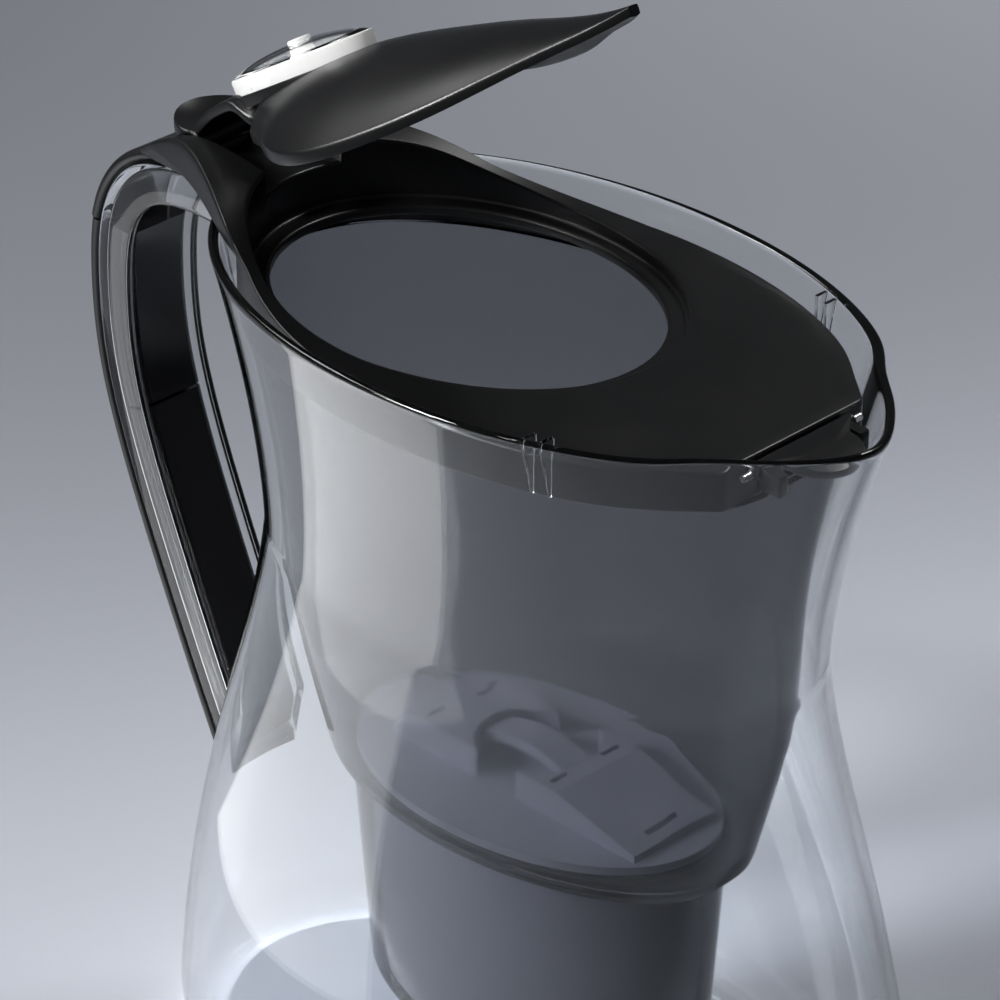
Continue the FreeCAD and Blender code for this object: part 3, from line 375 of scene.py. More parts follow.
# %% Jug ribs
RIB_PLACES, RIB_WIDTH, RIB_HEIGHT, RIB_DROP, RIB_FOOT, RIB_SEAM = (44.0, 48.0), 1.0, 14.0, 0.8, 0.5, 0.04
RIB_ROUND, RIB_ROWS = 0.25, 9


def rib_grid(middle, side):
    """A small upright rib from the lid's edge to the wall: a rounded rectangle at each height."""
    rise = np.linspace(RIM_HEIGHT - RIB_DROP - RIB_HEIGHT, RIM_HEIGHT - RIB_DROP, RIB_ROWS)
    along = middle / (jug_half(rise, 0) - JUG_WALL)
    wall = (jug_half(rise, 1) - JUG_WALL) * np.sqrt(1 - along ** 2) - RIB_SEAM
    foot = np.full(rise.shape, wall[0] - RIB_FOOT)
    corners = np.stack([
        np.stack([np.full(rise.shape, middle + RIB_WIDTH / 2 * end), side * reach], -1)
        for end, reach in ((-1, foot), (1, foot), (1, wall), (-1, wall))], 1)
    outline = rounded(corners, RIB_ROUND, 3)
    return np.dstack([outline, np.broadcast_to(rise[:, None], outline.shape[:2])])


jug_surfaces = [closed_surface(jug_grid)] + [
    closed_surface(rib_grid(place, side)) for place in RIB_PLACES for side in (-1, 1)]
jug = add_piece("clear_jug", jug_surfaces, clear_plastic, "jug", ["jug_body"])

# %% [markdown]
# ## The loop handle
# The handle follows one line from the rim to the lower body. Along it run a clear U-shaped channel, a black
# core inside the channel and a satin black strip on the outside. A curve with a bevel could carry them too,
# but their ends are pressed onto the jug's wall, so each outline is carried along the line by a formula.

# %% Handle line
HANDLE_TOP, HANDLE_FOOT, HANDLE_REACH = 236.5, 60.0, 150.0
HANDLE_HALF_WIDTH, HANDLE_DEPTH, STRIP_THICKNESS, SHELL_WALL = 12.0, 15.0, 3.5, 2.2
CORE_GAP, CORE_SETBACK, BOND_GAP = 0.2, 1.8, 0.15
HANDLE_LINE_SHARES = np.array([
    (0.0, 1.0), (0.36, 1.0), (0.71, 0.963), (0.927, 0.878), (1.0, 0.754), (0.973, 0.612), (0.855, 0.476),
    (0.655, 0.317), (0.436, 0.159), (0.2, 0.0)])
HANDLE_STEPS = 240
handle_line = smooth_line(np.stack([
    -mix(RIM[0], HANDLE_REACH, HANDLE_LINE_SHARES[:, 0]),
    mix(HANDLE_FOOT, HANDLE_TOP, HANDLE_LINE_SHARES[:, 1])], -1), HANDLE_STEPS + 1)
handle_way = np.gradient(handle_line, axis=0)
handle_way /= np.linalg.norm(handle_way, axis=1, keepdims=True)
handle_inwards = np.stack([-handle_way[:, 1], handle_way[:, 0]], -1)


def handle_sweep(outline, start_share, end_share):
    """Outline of (depth, y) points carried along the handle's line: line + inward normal * depth."""
    rows = slice(round(start_share * HANDLE_STEPS), round(end_share * HANDLE_STEPS) + 1)
    flat = handle_line[rows, None, :] + handle_inwards[rows, None, :] * outline[None, :, :1]
    across = np.broadcast_to(outline[None, :, 1], flat.shape[:2])
    half = jug_half(flat[..., 1], 0) + BOND_GAP
    wall = -half * np.sqrt(np.clip(1 - (across / jug_half(flat[..., 1], 1)) ** 2, 0, 1))
    return np.stack([np.minimum(flat[..., 0], wall), across, flat[..., 1]], -1)


def band_outline(outer, inner, half_width, radius):
    """A rounded rectangle between two depths."""
    corners = np.array([(outer, -half_width), (inner, -half_width), (inner, half_width), (outer, half_width)])
    return rounded(corners, radius, 7)


print("handle line:", len(handle_line), "points")

# %% Handle pieces
TAIL_END_SHARE, PARTING_SHARE = 0.3, 0.005
CORE_START_SHARE, CORE_SPLIT_SHARE, CORE_END_SHARE = 0.29, 0.54, 0.97
CHANNEL_ROUND, CORE_ROUND, STRIP_ROUND = 1.0, 2.5, 2.6
web = STRIP_THICKNESS + SHELL_WALL
inside = HANDLE_HALF_WIDTH - SHELL_WALL
channel_corners = np.array([
    (STRIP_THICKNESS, -HANDLE_HALF_WIDTH), (HANDLE_DEPTH, -HANDLE_HALF_WIDTH), (HANDLE_DEPTH, -inside),
    (web, -inside), (web, inside), (HANDLE_DEPTH, inside), (HANDLE_DEPTH, HANDLE_HALF_WIDTH),
    (STRIP_THICKNESS, HANDLE_HALF_WIDTH)])
channel = handle_sweep(rounded(channel_corners, CHANNEL_ROUND), 0, 1)
handle_shell = add_piece("handle_channel", [closed_surface(channel)], clear_plastic, "jug",
                         ["handle_shell"])
core = band_outline(web + CORE_GAP, HANDLE_DEPTH - CORE_SETBACK, inside - CORE_GAP, CORE_ROUND)
handle_cores = [
    add_piece("handle_core_" + label, [closed_surface(handle_sweep(core, start, end))], gloss_black, "jug",
              ["handle_core_" + label])
    for label, start, end in (("upper", CORE_START_SHARE, CORE_SPLIT_SHARE),
                              ("lower", CORE_SPLIT_SHARE + PARTING_SHARE, CORE_END_SHARE))]
strip = handle_sweep(band_outline(0, STRIP_THICKNESS, HANDLE_HALF_WIDTH, STRIP_ROUND), TAIL_END_SHARE, 1)
handle_strip = add_piece("handle_strip_cover", [closed_surface(strip)], satin_black, "jug",
                         ["handle_strip"])

# %% [markdown]
# ## The smoky funnel
# The funnel hangs inside the jug: an oval hopper whose front is cut off by a sloping wall, which leaves a
# channel for the water that is poured. A cup under it surrounds the cartridge. Both could be lofts between
# drawn outlines. Stacks of ovals, down the outside and up the inside, give the same form with an even wall.

# %% Hopper and cup
HOPPER_TOP, HOPPER_FOOT, HOPPER_WALL, HOPPER_FLOOR = 219.5, 100.5, 2.0, 2.5
HOPPER_FOOT_HALF = (64.0, 36.0)
HOPPER_RIM_GAP, HOPPER_WAIST_GAP = 2.0, 2.6
FRONT_TOP, FRONT_FOOT, FRONT_ROUND = 81.0, 63.0, 5.0
SEAT = (51.0, 31.0)
CUP_FOOT, CUP_TOP_HALF, CUP_FOOT_HALF, CUP_ROUND, CUP_WALL = 34.0, (55.0, 35.0), (51.0, 31.5), 7.0, 2.0
CUP_DRAIN = (16.0, 8.0)
KNEE_SHARES, NECK_SHARES = ((0.35, 0.45), (0.7, 0.82)), (0, 0.3, 0.6, 1)
SEAT_RIM, FOOT_EDGES, FLOOR_EDGE = 4.0, (1.2, 0.2), 0.5
OVAL_TURNS, HOPPER_ROWS, CUP_ARC_ROWS, CUP_WALL_ROWS = 240, 70, 9, 24
oval_turn = np.linspace(0, 2 * np.pi, OVAL_TURNS, endpoint=False)


def hopper_half(rise, side):
    """Half sizes of the hopper: foot, two knees, waist and neck joined by a smooth line over the height."""
    neck_share = np.array(NECK_SHARES)
    neck = mix(WAIST_HEIGHT, HOPPER_TOP, neck_share)
    neck_half = jug_half(neck, side) - JUG_WALL - mix(HOPPER_WAIST_GAP, HOPPER_RIM_GAP, neck_share)
    foot_half = HOPPER_FOOT_HALF[side]
    knee_rise, knee_widen = np.array(KNEE_SHARES).T
    at = np.r_[HOPPER_FOOT, mix(HOPPER_FOOT, WAIST_HEIGHT, knee_rise), neck]
    half = np.r_[foot_half, mix(foot_half, neck_half[0], knee_widen), neck_half]
    return smooth_values(at, half[:, None], np.clip(rise, HOPPER_FOOT, HOPPER_TOP))[:, 0]


def soft_limit(value, limit, radius):
    """The lower of two values with a rounded corner: min - h^2 / (4 r), h = max(r - |a - b|, 0)."""
    near = np.clip(radius - np.abs(value - limit), 0, None)
    return np.minimum(value, limit) - near ** 2 / (4 * radius)


def hopper_rings(rise, inset):
    """Ovals of the hopper with their front pressed flat on the sloping wall."""
    front = mix(FRONT_FOOT, FRONT_TOP, (rise - HOPPER_FOOT) / (HOPPER_TOP - HOPPER_FOOT)) - inset
    x = (hopper_half(rise, 0) - inset)[:, None] * np.cos(oval_turn)
    y = (hopper_half(rise, 1) - inset)[:, None] * np.sin(oval_turn)
    x = soft_limit(x, front[:, None], FRONT_ROUND)
    return np.stack([x, y, np.broadcast_to(rise[:, None], x.shape)], -1)


def oval_rings(half, inset, rise):
    """Plain ovals (a cos t, b sin t) at heights."""
    half, inset, rise = (np.asarray(v, float) for v in (half, inset, rise))
    a, b = half[..., 0] - inset, half[..., 1] - inset
    shape = np.broadcast(a, rise).shape + (OVAL_TURNS,)
    x = np.broadcast_to(np.atleast_1d(a)[:, None] * np.cos(oval_turn), shape)
    y = np.broadcast_to(np.atleast_1d(b)[:, None] * np.sin(oval_turn), shape)
    return np.stack([x, y, np.broadcast_to(np.atleast_1d(rise)[:, None], shape)], -1)


hopper_floor = HOPPER_FOOT + HOPPER_FLOOR
outer_rise = np.linspace(HOPPER_FOOT, HOPPER_TOP, HOPPER_ROWS)
inner_rise = np.linspace(HOPPER_TOP, hopper_floor, HOPPER_ROWS)
hopper_grid = np.concatenate([
    oval_rings([SEAT], 0, [HOPPER_FOOT]), oval_rings([SEAT], -SEAT_RIM, [HOPPER_FOOT]),
    hopper_rings(np.full(2, HOPPER_FOOT), np.array(FOOT_EDGES)), hopper_rings(outer_rise[1:], 0),
    hopper_rings(inner_rise[:-1], HOPPER_WALL),
    hopper_rings(np.full(1, hopper_floor), HOPPER_WALL + FLOOR_EDGE),
    oval_rings([SEAT], -SEAT_RIM, [hopper_floor]), oval_rings([SEAT], 0, [hopper_floor])])
hopper = add_piece("smoky_hopper", [closed_surface(hopper_grid, True)], smoky_plastic, "funnel",
                   ["funnel_hopper"])


def cup_rings(inset, low, high):
    """Ovals of the cup from its rounded bottom edge up to its top."""
    arc = np.linspace(0, np.pi / 2, CUP_ARC_ROWS)
    wall = np.linspace(0, 1, CUP_WALL_ROWS)[1:]
    drawn = CUP_ROUND * (1 - np.sin(arc))
    half_arc = np.array(CUP_FOOT_HALF)[None, :] - drawn[:, None]
    half_wall = mix(np.array(CUP_FOOT_HALF)[None, :], np.array(CUP_TOP_HALF)[None, :], wall[:, None])
    rise = np.r_[low + CUP_ROUND * (1 - np.cos(arc)), mix(low + CUP_ROUND, high, wall)]
    return oval_rings(np.vstack([half_arc, half_wall]), inset, rise)


cup_outer = cup_rings(0, CUP_FOOT, HOPPER_FOOT)
cup_inner = cup_rings(CUP_WALL, CUP_FOOT + CUP_WALL, HOPPER_FOOT)[::-1]
cup_grid = np.concatenate([oval_rings([CUP_DRAIN], 0, [CUP_FOOT]), cup_outer, cup_inner,
                           oval_rings([CUP_DRAIN], 0, [CUP_FOOT + CUP_WALL])])
cup = add_piece("smoky_cup", [closed_surface(cup_grid, True)], smoky_plastic, "funnel",
                ["cartridge_cup"])

# %% [markdown]
# ## The lid
# The lid is a flat plateau inside the rim with a stepped fill opening. Behind the opening it rises in a
# saddle, passes over the rim and runs out over the handle. It could be cut from a block, but cut edges stay
# sharp. Instead one outline, from the opening's lip out over the saddle, down the skirt and back underneath,
# is carried round the opening, with its corners rounded.

# %% Lid lines
PLATEAU, LEDGE, LEDGE_LOW = 229.5, 226.5, 224.0
OPENING_CENTER, OPENING, RECESS = -24.5, (53.0, 40.0), (58.5, 44.0)
SADDLE_START, SADDLE_HEIGHT, HINGE_X, HINGE_Z = -15.0, 244.2, -108.0, 241.5
LID_GAP, LID_WALL, LID_FRONT = 0.8, 2.4, 79.0
SLOT_HALF, SLOT_FLOOR, TONGUE_END = 12.4, 237.6, -127.0
RIM_PASS = 236.0
TAIL_FALL = np.array([(114.0, 242.0), (120.0, 238.6), (128.0, 233.4)])
SADDLE_SHARES = np.array([(0.0, 0.0), (0.215, 0.1), (0.43, 0.38), (0.613, 0.79), (0.785, 1.0), (1.0, 1.0)])
TONGUE_SIDE = np.array([(-57.0, 40.2), (-66.0, 36.8), (-85.0, 27.2), (-108.0, 17.0), (-127.0, 12.6)])
JOIN_TURN = np.pi - 0.92


def saddle_height(x):
    """Height of the lid's top: level in front, then a smooth rise to the hinge and a fall to the handle."""
    back = np.clip(-x, 0, None)
    rise_x = -mix(SADDLE_START, HINGE_X, SADDLE_SHARES[:, 0])
    rise_z = mix(PLATEAU, SADDLE_HEIGHT, SADDLE_SHARES[:, 1])
    knots_x = np.r_[rise_x, TAIL_FALL[:, 0]]
    knots_z = np.r_[rise_z, TAIL_FALL[:, 1]]
    smooth = smooth_values(knots_x, knots_z[:, None], np.clip(back, rise_x[0], knots_x[-1]).ravel())[:, 0]
    return np.where(back > rise_x[0], smooth.reshape(np.shape(x)), PLATEAU)


def lid_oval(turn, inset):
    """The lid's outline inside the jug, cut straight at the front, where the spout plate starts."""
    x, y = jug_outline(np.full(turn.shape, HOPPER_TOP), JUG_WALL + LID_GAP + inset, turn)
    return np.stack([np.minimum(x, LID_FRONT - inset), y], -1)


print("saddle over the hinge, mm:", saddle_height(np.array([HINGE_X])).round(1))

# %% Lid skin
SIDE_COLUMNS, REAR_COLUMNS, SLOT_COLUMNS, SLOT_STEP, TONGUE_SAMPLES = 110, 60, 13, 0.002, 200
slot_turn = math.asin(SLOT_HALF / RECESS[1])
half_turns = np.r_[np.linspace(0, JOIN_TURN, SIDE_COLUMNS)[:-1],
                   np.linspace(JOIN_TURN, np.pi - slot_turn - SLOT_STEP, REAR_COLUMNS),
                   np.linspace(np.pi - slot_turn + SLOT_STEP, np.pi, SLOT_COLUMNS)]
lid_turns = np.r_[half_turns, 2 * np.pi - half_turns[-2:0:-1]]
around = np.where(lid_turns > np.pi, 2 * np.pi - lid_turns, lid_turns)
mirror = np.where(lid_turns > np.pi, -1.0, 1.0)
in_slot = around > np.pi - slot_turn

oval_join = math.acos(TONGUE_SIDE[0, 0] / (jug_half(np.array(HOPPER_TOP), 0) - JUG_WALL - LID_GAP))
oval_turns = np.interp(around, [0, JOIN_TURN, np.pi], [0, oval_join, np.pi])


def ellipse(half):
    """Points of an oval round the opening's centre, on one side of the mirror plane."""
    return np.stack([OPENING_CENTER + half[0] * np.cos(around), half[1] * np.sin(around)], -1)


lip, recess, skirt = ellipse(OPENING), ellipse(RECESS), lid_oval(oval_turns, 0)
skirt_inner = lid_oval(oval_turns, LID_WALL)
tongue_line = smooth_line(TONGUE_SIDE, TONGUE_SAMPLES)
tongue_share = np.clip((around - JOIN_TURN) / (np.pi - slot_turn - JOIN_TURN), 0, 1)
tongue_run = np.linspace(0, 1, TONGUE_SAMPLES)
tongue = np.stack([np.interp(tongue_share, tongue_run, tongue_line[:, k]) for k in (0, 1)], -1)
slot_end = np.stack([np.full(around.shape, TONGUE_END), recess[:, 1]], -1)
rim_edge = np.where((around > JOIN_TURN)[:, None], tongue, skirt)
rim_edge = np.where(in_slot[:, None], slot_end, rim_edge)


def top_height(points):
    """Saddle height, or the floor of the slot in which the flap's neck lies."""
    z = saddle_height(points[:, 0])
    return np.where(in_slot, np.minimum(z, SLOT_FLOOR), z)


def row(points, z):
    """Plan points and heights as one row of corners round the lid."""
    return np.column_stack([points[:, 0], points[:, 1] * mirror, np.broadcast_to(z, len(points))])


print("lid columns:", len(lid_turns))

# %% Lid rows
EDGE_DROP, SKIRT_DROP, TOP_SHARES = 1.5, 0.5, (0.0, 0.2, 0.4, 0.6, 0.8, 1.0)
LIP_ROUNDS, SKIRT_ROUNDS = (0.3, 1.0, 1.0, 1.0), (0.8, 0.8, 0.6, 0.6, 0.6)
FRONT_EDGE_ROUND, REAR_EDGE_ROUND, BAND_ROUND_SHARE = 0.8, 6.0, 0.45
REAR_START_TURN, REAR_BLEND_TURN = 1.6, 0.7
TAIL_THICKNESS, TAIL_START_SHARE = 3.2, 0.02
edge_top = top_height(rim_edge)
edge_low = np.minimum(edge_top - EDGE_DROP, RIM_PASS)
top_lines = [mix(recess, rim_edge, share) for share in TOP_SHARES]
lid_rows = [row(lip, LEDGE_LOW), row(lip, LEDGE), row(recess, LEDGE)] + [
    row(line, top_height(line)) for line in top_lines] + [
    row(rim_edge, edge_low), row(skirt, edge_low - SKIRT_DROP), row(skirt, HOPPER_TOP),
    row(skirt_inner, HOPPER_TOP), row(skirt_inner, LEDGE_LOW)]
band_width = np.linalg.norm(rim_edge - recess, axis=1)
rear = np.clip((around - REAR_START_TURN) / REAR_BLEND_TURN, 0, 1)
rear_round = np.minimum(REAR_EDGE_ROUND, BAND_ROUND_SHARE * band_width)
edge_round = mix(FRONT_EDGE_ROUND, rear_round, rear * rear * (3 - 2 * rear))
top_rounds = (FULL_ROUND,) * (len(TOP_SHARES) - 2)
radii = [np.full(around.shape, r) for r in LIP_ROUNDS + top_rounds] + [edge_round] + [
    np.full(around.shape, r) for r in SKIRT_ROUNDS]
lid_grid = rounded(np.stack(lid_rows, 1), np.stack(radii, -1)[..., None], 5)
tail = handle_sweep(band_outline(0, TAIL_THICKNESS, SLOT_HALF, STRIP_ROUND), TAIL_START_SHARE,
                    TAIL_END_SHARE - PARTING_SHARE)
lid = add_piece("lid_moulding", [closed_surface(lid_grid, True), closed_surface(tail)], satin_black, "lid",
                ["lid_frame"])

# %% [markdown]
# ## The fill flap
# The flap is a leaf: a narrow neck at the hinge, two wings and a long point. A plane shaped by hand could
# look like it, but a row of sections follows the solid: a crowned strip that changes width and crown along its
# length. It is drawn lying flat about its hinge and then turned open.

# %% Flap
FLAP_LENGTH, FLAP_HALF, FLAP_ARCH, FLAP_CROWN, FLAP_THICKNESS = 155.0, 36.5, 10.7, 14.5, 2.6
FLAP_ANGLE = math.radians(27.3)
LEAF_ROWS, LEAF_COLUMNS, LEAF_EDGE = 180, 25, 0.7
BARREL_RADIUS, BARREL_BEVEL, NECK_HALF, ROD_TURNS = 3.2, 0.4, 12.0, 48
TAB_LENGTH, TAB_THICKNESS, TAB_LIFT, TAB_DISH = 12.5, 3.6, 1.2, 1.6
TAB_ROWS, TAB_COLUMNS, TAB_EDGE, TAB_TIP_SQUARE = 30, 17, 0.8, 0.3
CATCH_LOW, CATCH_HIGH, CATCH_ROUND = (49.0, -5.0, -5.1), (57.0, 5.0, 9.0), 1.0
BLOCK_DRAW_SHARE, BLOCK_BEVEL = 0.94, 0.4
FLAP_SHARES = np.array([
    (0.0, 0.307, 0.28, 0.034, 1.0), (0.022, 0.308, 0.45, 0.038, 1.0), (0.045, 0.309, 0.595, 0.041, 1.0),
    (0.067, 0.31, 0.69, 0.044, 1.0), (0.09, 0.312, 0.748, 0.048, 1.0), (0.107, 0.315, 0.775, 0.052, 1.0),
    (0.123, 0.318, 0.794, 0.075, 1.0), (0.141, 0.322, 0.812, 0.21, 1.0), (0.16, 0.321, 0.827, 0.42, 1.0),
    (0.181, 0.338, 0.846, 0.55, 1.05), (0.207, 0.48, 0.869, 0.621, 1.1), (0.24, 0.592, 0.893, 0.659, 1.2),
    (0.285, 0.699, 0.93, 0.721, 1.3), (0.345, 0.877, 0.972, 0.828, 1.4), (0.41, 1.0, 1.0, 1.0, 1.4),
    (0.56, 0.94, 0.888, 1.0, 1.2), (0.71, 0.682, 0.701, 0.714, 1.1), (0.86, 0.345, 0.458, 0.283, 0.95),
    (0.96, 0.137, 0.402, 0.09, 0.85), (1.0, 0.041, 0.421, 0.014, 0.8)])


def on_flap(points, tilt=0.0):
    """Turn points drawn about the hinge open by the flap's angle and a tilt, and set them on the hinge."""
    x, y, z = points[..., 0], points[..., 1], points[..., 2]
    angle = FLAP_ANGLE + tilt
    turned_x = x * math.cos(angle) - z * math.sin(angle)
    turned_z = x * math.sin(angle) + z * math.cos(angle)
    return np.stack([turned_x + HINGE_X, y, turned_z + HINGE_Z], -1)


def arc_drop(across, half, crown):
    """Depth of a circular arc below its crown: k y^2 / (1 + sqrt(1 - k^2 y^2)), k = 2 c / (half^2 + c^2)."""
    bend = 2 * crown / (half ** 2 + crown ** 2)
    return bend * across ** 2 / (1 + np.sqrt(np.clip(1 - (bend * across) ** 2, 0, 1)))


def strip_loops(across, upper, lower, edge):
    """Closed sections, out along an upper line and back along a lower one, with their two edges rounded."""
    columns = across.shape[1]
    corners = np.stack([np.hstack([across, across[:, ::-1]]), np.hstack([upper, lower[:, ::-1]])], -1)
    radius = np.full((2 * columns, 1), FULL_ROUND)
    radius[[0, columns - 1, columns, -1]] = edge
    return rounded(corners, radius, 4)


def leaf_grid():
    """Sections between two arcs: one from the ridge to the edges, one lower by the thickness."""
    run = np.linspace(0, 1, LEAF_ROWS)
    width, arch, crown, edge = smooth_values(FLAP_SHARES[:, 0], FLAP_SHARES[:, 1:], run).T[..., None]
    half, ridge, crown = FLAP_HALF * width, FLAP_ARCH * arch, FLAP_CROWN * crown
    across = half * np.linspace(-1, 1, LEAF_COLUMNS)
    upper = ridge - arc_drop(across, half, crown)
    lower = ridge - FLAP_THICKNESS - arc_drop(across, half, crown + FLAP_THICKNESS * (edge - 1))
    loops = strip_loops(across, upper, lower, LEAF_EDGE)
    return np.dstack([np.broadcast_to(FLAP_LENGTH * run[:, None], loops.shape[:2]), loops])


def rod_grid(radius, half_length, bevel):
    """A round bar along Y with small bevels: rings (r cos t, y, r sin t)."""
    t = np.linspace(0, 2 * np.pi, ROD_TURNS, endpoint=False)
    y = np.array([-half_length, -half_length + bevel, half_length - bevel, half_length])[:, None]
    r = np.array([radius - bevel, radius, radius, radius - bevel])[:, None]
    return np.stack([r * np.cos(t), np.broadcast_to(y, (len(y), ROD_TURNS)), r * np.sin(t)], -1)


def tab_grid():
    """Thumb tab behind the hinge, level on the open flap: a thick tongue with a round end and a hollow."""
    cos, sin = math.cos(FLAP_ANGLE), math.sin(FLAP_ANGLE)
    reach = TAB_LENGTH / cos
    run = reach * np.sin(np.linspace(0, np.pi / 2, TAB_ROWS))
    round_end = np.sqrt(np.clip(TAB_LENGTH ** 2 - (run * cos) ** 2, TAB_TIP_SQUARE, None))
    half = np.minimum(NECK_HALF, round_end)
    s = np.linspace(-1, 1, TAB_COLUMNS)
    share = run / reach
    hollow = TAB_DISH * (4 * share * (1 - share))[:, None] * (1 - s ** 2)[None, :]
    upper = TAB_LIFT + TAB_THICKNESS / 2 - hollow
    lower = np.full(upper.shape, TAB_LIFT - TAB_THICKNESS / 2)
    loops = strip_loops(half[:, None] * s, upper, lower, TAB_EDGE)
    along, up = np.broadcast_to(-run[:, None], loops.shape[:2]), loops[..., 1]
    return np.stack([along * cos + up * sin, loops[..., 0], -along * sin + up * cos], -1)


def block_grid(low, high, radius):
    """A block with rounded upright edges: one rounded outline at four heights."""
    corners = np.array([(low[0], low[1]), (high[0], low[1]), (high[0], high[1]), (low[0], high[1])])
    middle = (np.array(low[:2]) + np.array(high[:2])) / 2
    outline = rounded(corners, radius, 5)
    small = middle + (outline - middle) * BLOCK_DRAW_SHARE
    rows = [(small, low[2]), (outline, low[2] + BLOCK_BEVEL), (outline, high[2] - BLOCK_BEVEL),
            (small, high[2])]
    return np.stack([np.column_stack([o, np.full(len(o), z)]) for o, z in rows])


flap_surfaces = [closed_surface(on_flap(grid)) for grid in (
    leaf_grid(), rod_grid(BARREL_RADIUS, NECK_HALF, BARREL_BEVEL), tab_grid(),
    block_grid(CATCH_LOW, CATCH_HIGH, CATCH_ROUND))]
print("flap surfaces:", len(flap_surfaces))

# %% [markdown]
# ## The change indicator
# A white tray sits on a low pad of the flap, with a clear dome over it and a small white button. A solid lens
# would be simpler, but light falls through the dome onto the tray, so the dome is a true shell with a hole
# where the button passes. All of it is tilted a little more than the flap, whose ridge rises to its middle.

# %% Pad and flap
INDICATOR_X, TRAY, TRAY_SEAT, TRAY_HEIGHT, TRAY_WALL = 38.0, (26.0, 11.0), 5.85, 4.6, 2.2
PAD_RIM, PAD_DEPTH, PAD_LIP = 1.5, 3.0, 0.4
INDICATOR_TILT = math.radians(3.5)
TRAY_TOP = TRAY_SEAT + TRAY_HEIGHT


def flap_ovals(half, rows):
    """Ovals on the flap, each given as an inset from a half size and a height."""
    inset, rise = np.array(rows).T
    rings = oval_rings(np.tile(half, (len(rows), 1)), inset, rise)
    rings[..., 0] += INDICATOR_X
    return rings


def on_ridge(points):
    """Set points of the indicator on the open flap, with its tilt."""
    return on_flap(points, INDICATOR_TILT)


pad_rows = [(0.6, TRAY_SEAT - PAD_DEPTH), (0.0, TRAY_SEAT - PAD_DEPTH + 0.5), (0.0, TRAY_SEAT),
            (0.12, TRAY_SEAT + 0.28), (0.4, TRAY_SEAT + PAD_LIP), (2.4, TRAY_SEAT + PAD_LIP)]
pad = flap_ovals((TRAY[0] + PAD_RIM, TRAY[1] + PAD_RIM), pad_rows)
flap = add_piece("flap_leaf", flap_surfaces + [closed_surface(on_ridge(pad))], satin_black, "fill_flap",
                 ["flap_shell"])

# %% Indicator
LENS_INSET, LENS_RISE, LENS_WALL, LENS_SEAT = 0.6, 3.2, 1.0, 0.02
DOME_ROWS, DOME_POWER, DOME_FOOT_SHARE, DOME_DRAW_SHARE = 26, 2.6, 0.96, 0.97
BUTTON_X, BUTTON_RADIUS, BUTTON_GAP, BUTTON_LOW, BUTTON_HEIGHT = 1.5, 3.0, 0.35, 9.65, 4.8
BUTTON_RINGS = np.array([(2.6, 0.0), (BUTTON_RADIUS, 0.06), (BUTTON_RADIUS, 0.9), (2.9, 0.96), (2.7, 0.995),
                         (2.2, 1.0), (1.6, 0.95), (0.4, 0.93)])
BUTTON_TURNS, DECK_DROP = 64, 0.3
hole_line = np.stack([BUTTON_X + (BUTTON_RADIUS + BUTTON_GAP) * np.cos(oval_turn),
                      (BUTTON_RADIUS + BUTTON_GAP) * np.sin(oval_turn)], -1)


def oval_line(inset):
    """Plan points of the tray's oval, drawn in by an inset."""
    return np.stack([(TRAY[0] - inset) * np.cos(oval_turn), (TRAY[1] - inset) * np.sin(oval_turn)], -1)


def tray_grid(rows):
    """Rings between the button's hole and the oval: a row is a share of the way out, an inset, a height."""
    plans = [mix(hole_line, oval_line(inset), share) + (INDICATOR_X, 0) for share, inset, rise in rows]
    return np.stack([np.column_stack([plan, np.full(OVAL_TURNS, line[2])]) for plan, line in zip(plans, rows)])


def dome_grid():
    """Shell between the hole and the rim: height = rise * (1 - r^power), r the share of the oval's radius."""
    share = np.linspace(0, 1, DOME_ROWS)
    plan = mix(hole_line[None], oval_line(LENS_INSET)[None], share[:, None, None])
    r = np.hypot(plan[..., 0] / (TRAY[0] - LENS_INSET), plan[..., 1] / (TRAY[1] - LENS_INSET))
    outer = TRAY_TOP + LENS_SEAT + LENS_RISE * (1 - np.clip(r, 0, 1) ** DOME_POWER)
    under = np.maximum(outer - LENS_WALL, TRAY_TOP + LENS_SEAT / 2)
    drawn = plan * np.where(r > DOME_FOOT_SHARE, DOME_DRAW_SHARE, 1)[..., None]
    grid = np.concatenate([np.dstack([plan, outer]), np.dstack([drawn, under])[::-1]])
    grid[..., 0] += INDICATOR_X
    return grid


def button_grid():
    """A round post with rounded edge and dished top: rings of radius and height."""
    radius, rise = BUTTON_RINGS[:, :1], BUTTON_LOW + BUTTON_HEIGHT * BUTTON_RINGS[:, 1:]
    t = np.linspace(0, 2 * np.pi, BUTTON_TURNS, endpoint=False)
    x = INDICATOR_X + BUTTON_X + radius * np.cos(t)
    return np.stack([x, radius * np.sin(t), np.broadcast_to(rise, x.shape)], -1)


deck = TRAY_TOP - DECK_DROP
tray_rows = [(0, 0, TRAY_SEAT), (1, 1.0, TRAY_SEAT), (1, 0, TRAY_SEAT + 0.4), (1, 0, TRAY_TOP - 0.5),
             (1, 0.15, TRAY_TOP - 0.15), (1, 0.5, TRAY_TOP), (1, TRAY_WALL - 0.4, TRAY_TOP),
             (1, TRAY_WALL, deck), (0.5, TRAY_WALL, deck), (0.04, TRAY_WALL, deck),
             (0, TRAY_WALL, deck - 0.2)]
tray = add_piece("indicator_tray", [closed_surface(on_ridge(tray_grid(tray_rows)), True)], white_plastic,
                 "fill_flap", ["indicator_base"])
dome = add_piece("indicator_dome", [closed_surface(on_ridge(dome_grid()), True)], lens_clear, "fill_flap",
                 ["indicator_lens"])
button = add_piece("reset_button", [closed_surface(on_ridge(button_grid()))], white_plastic, "button",
                   ["indicator_button"])

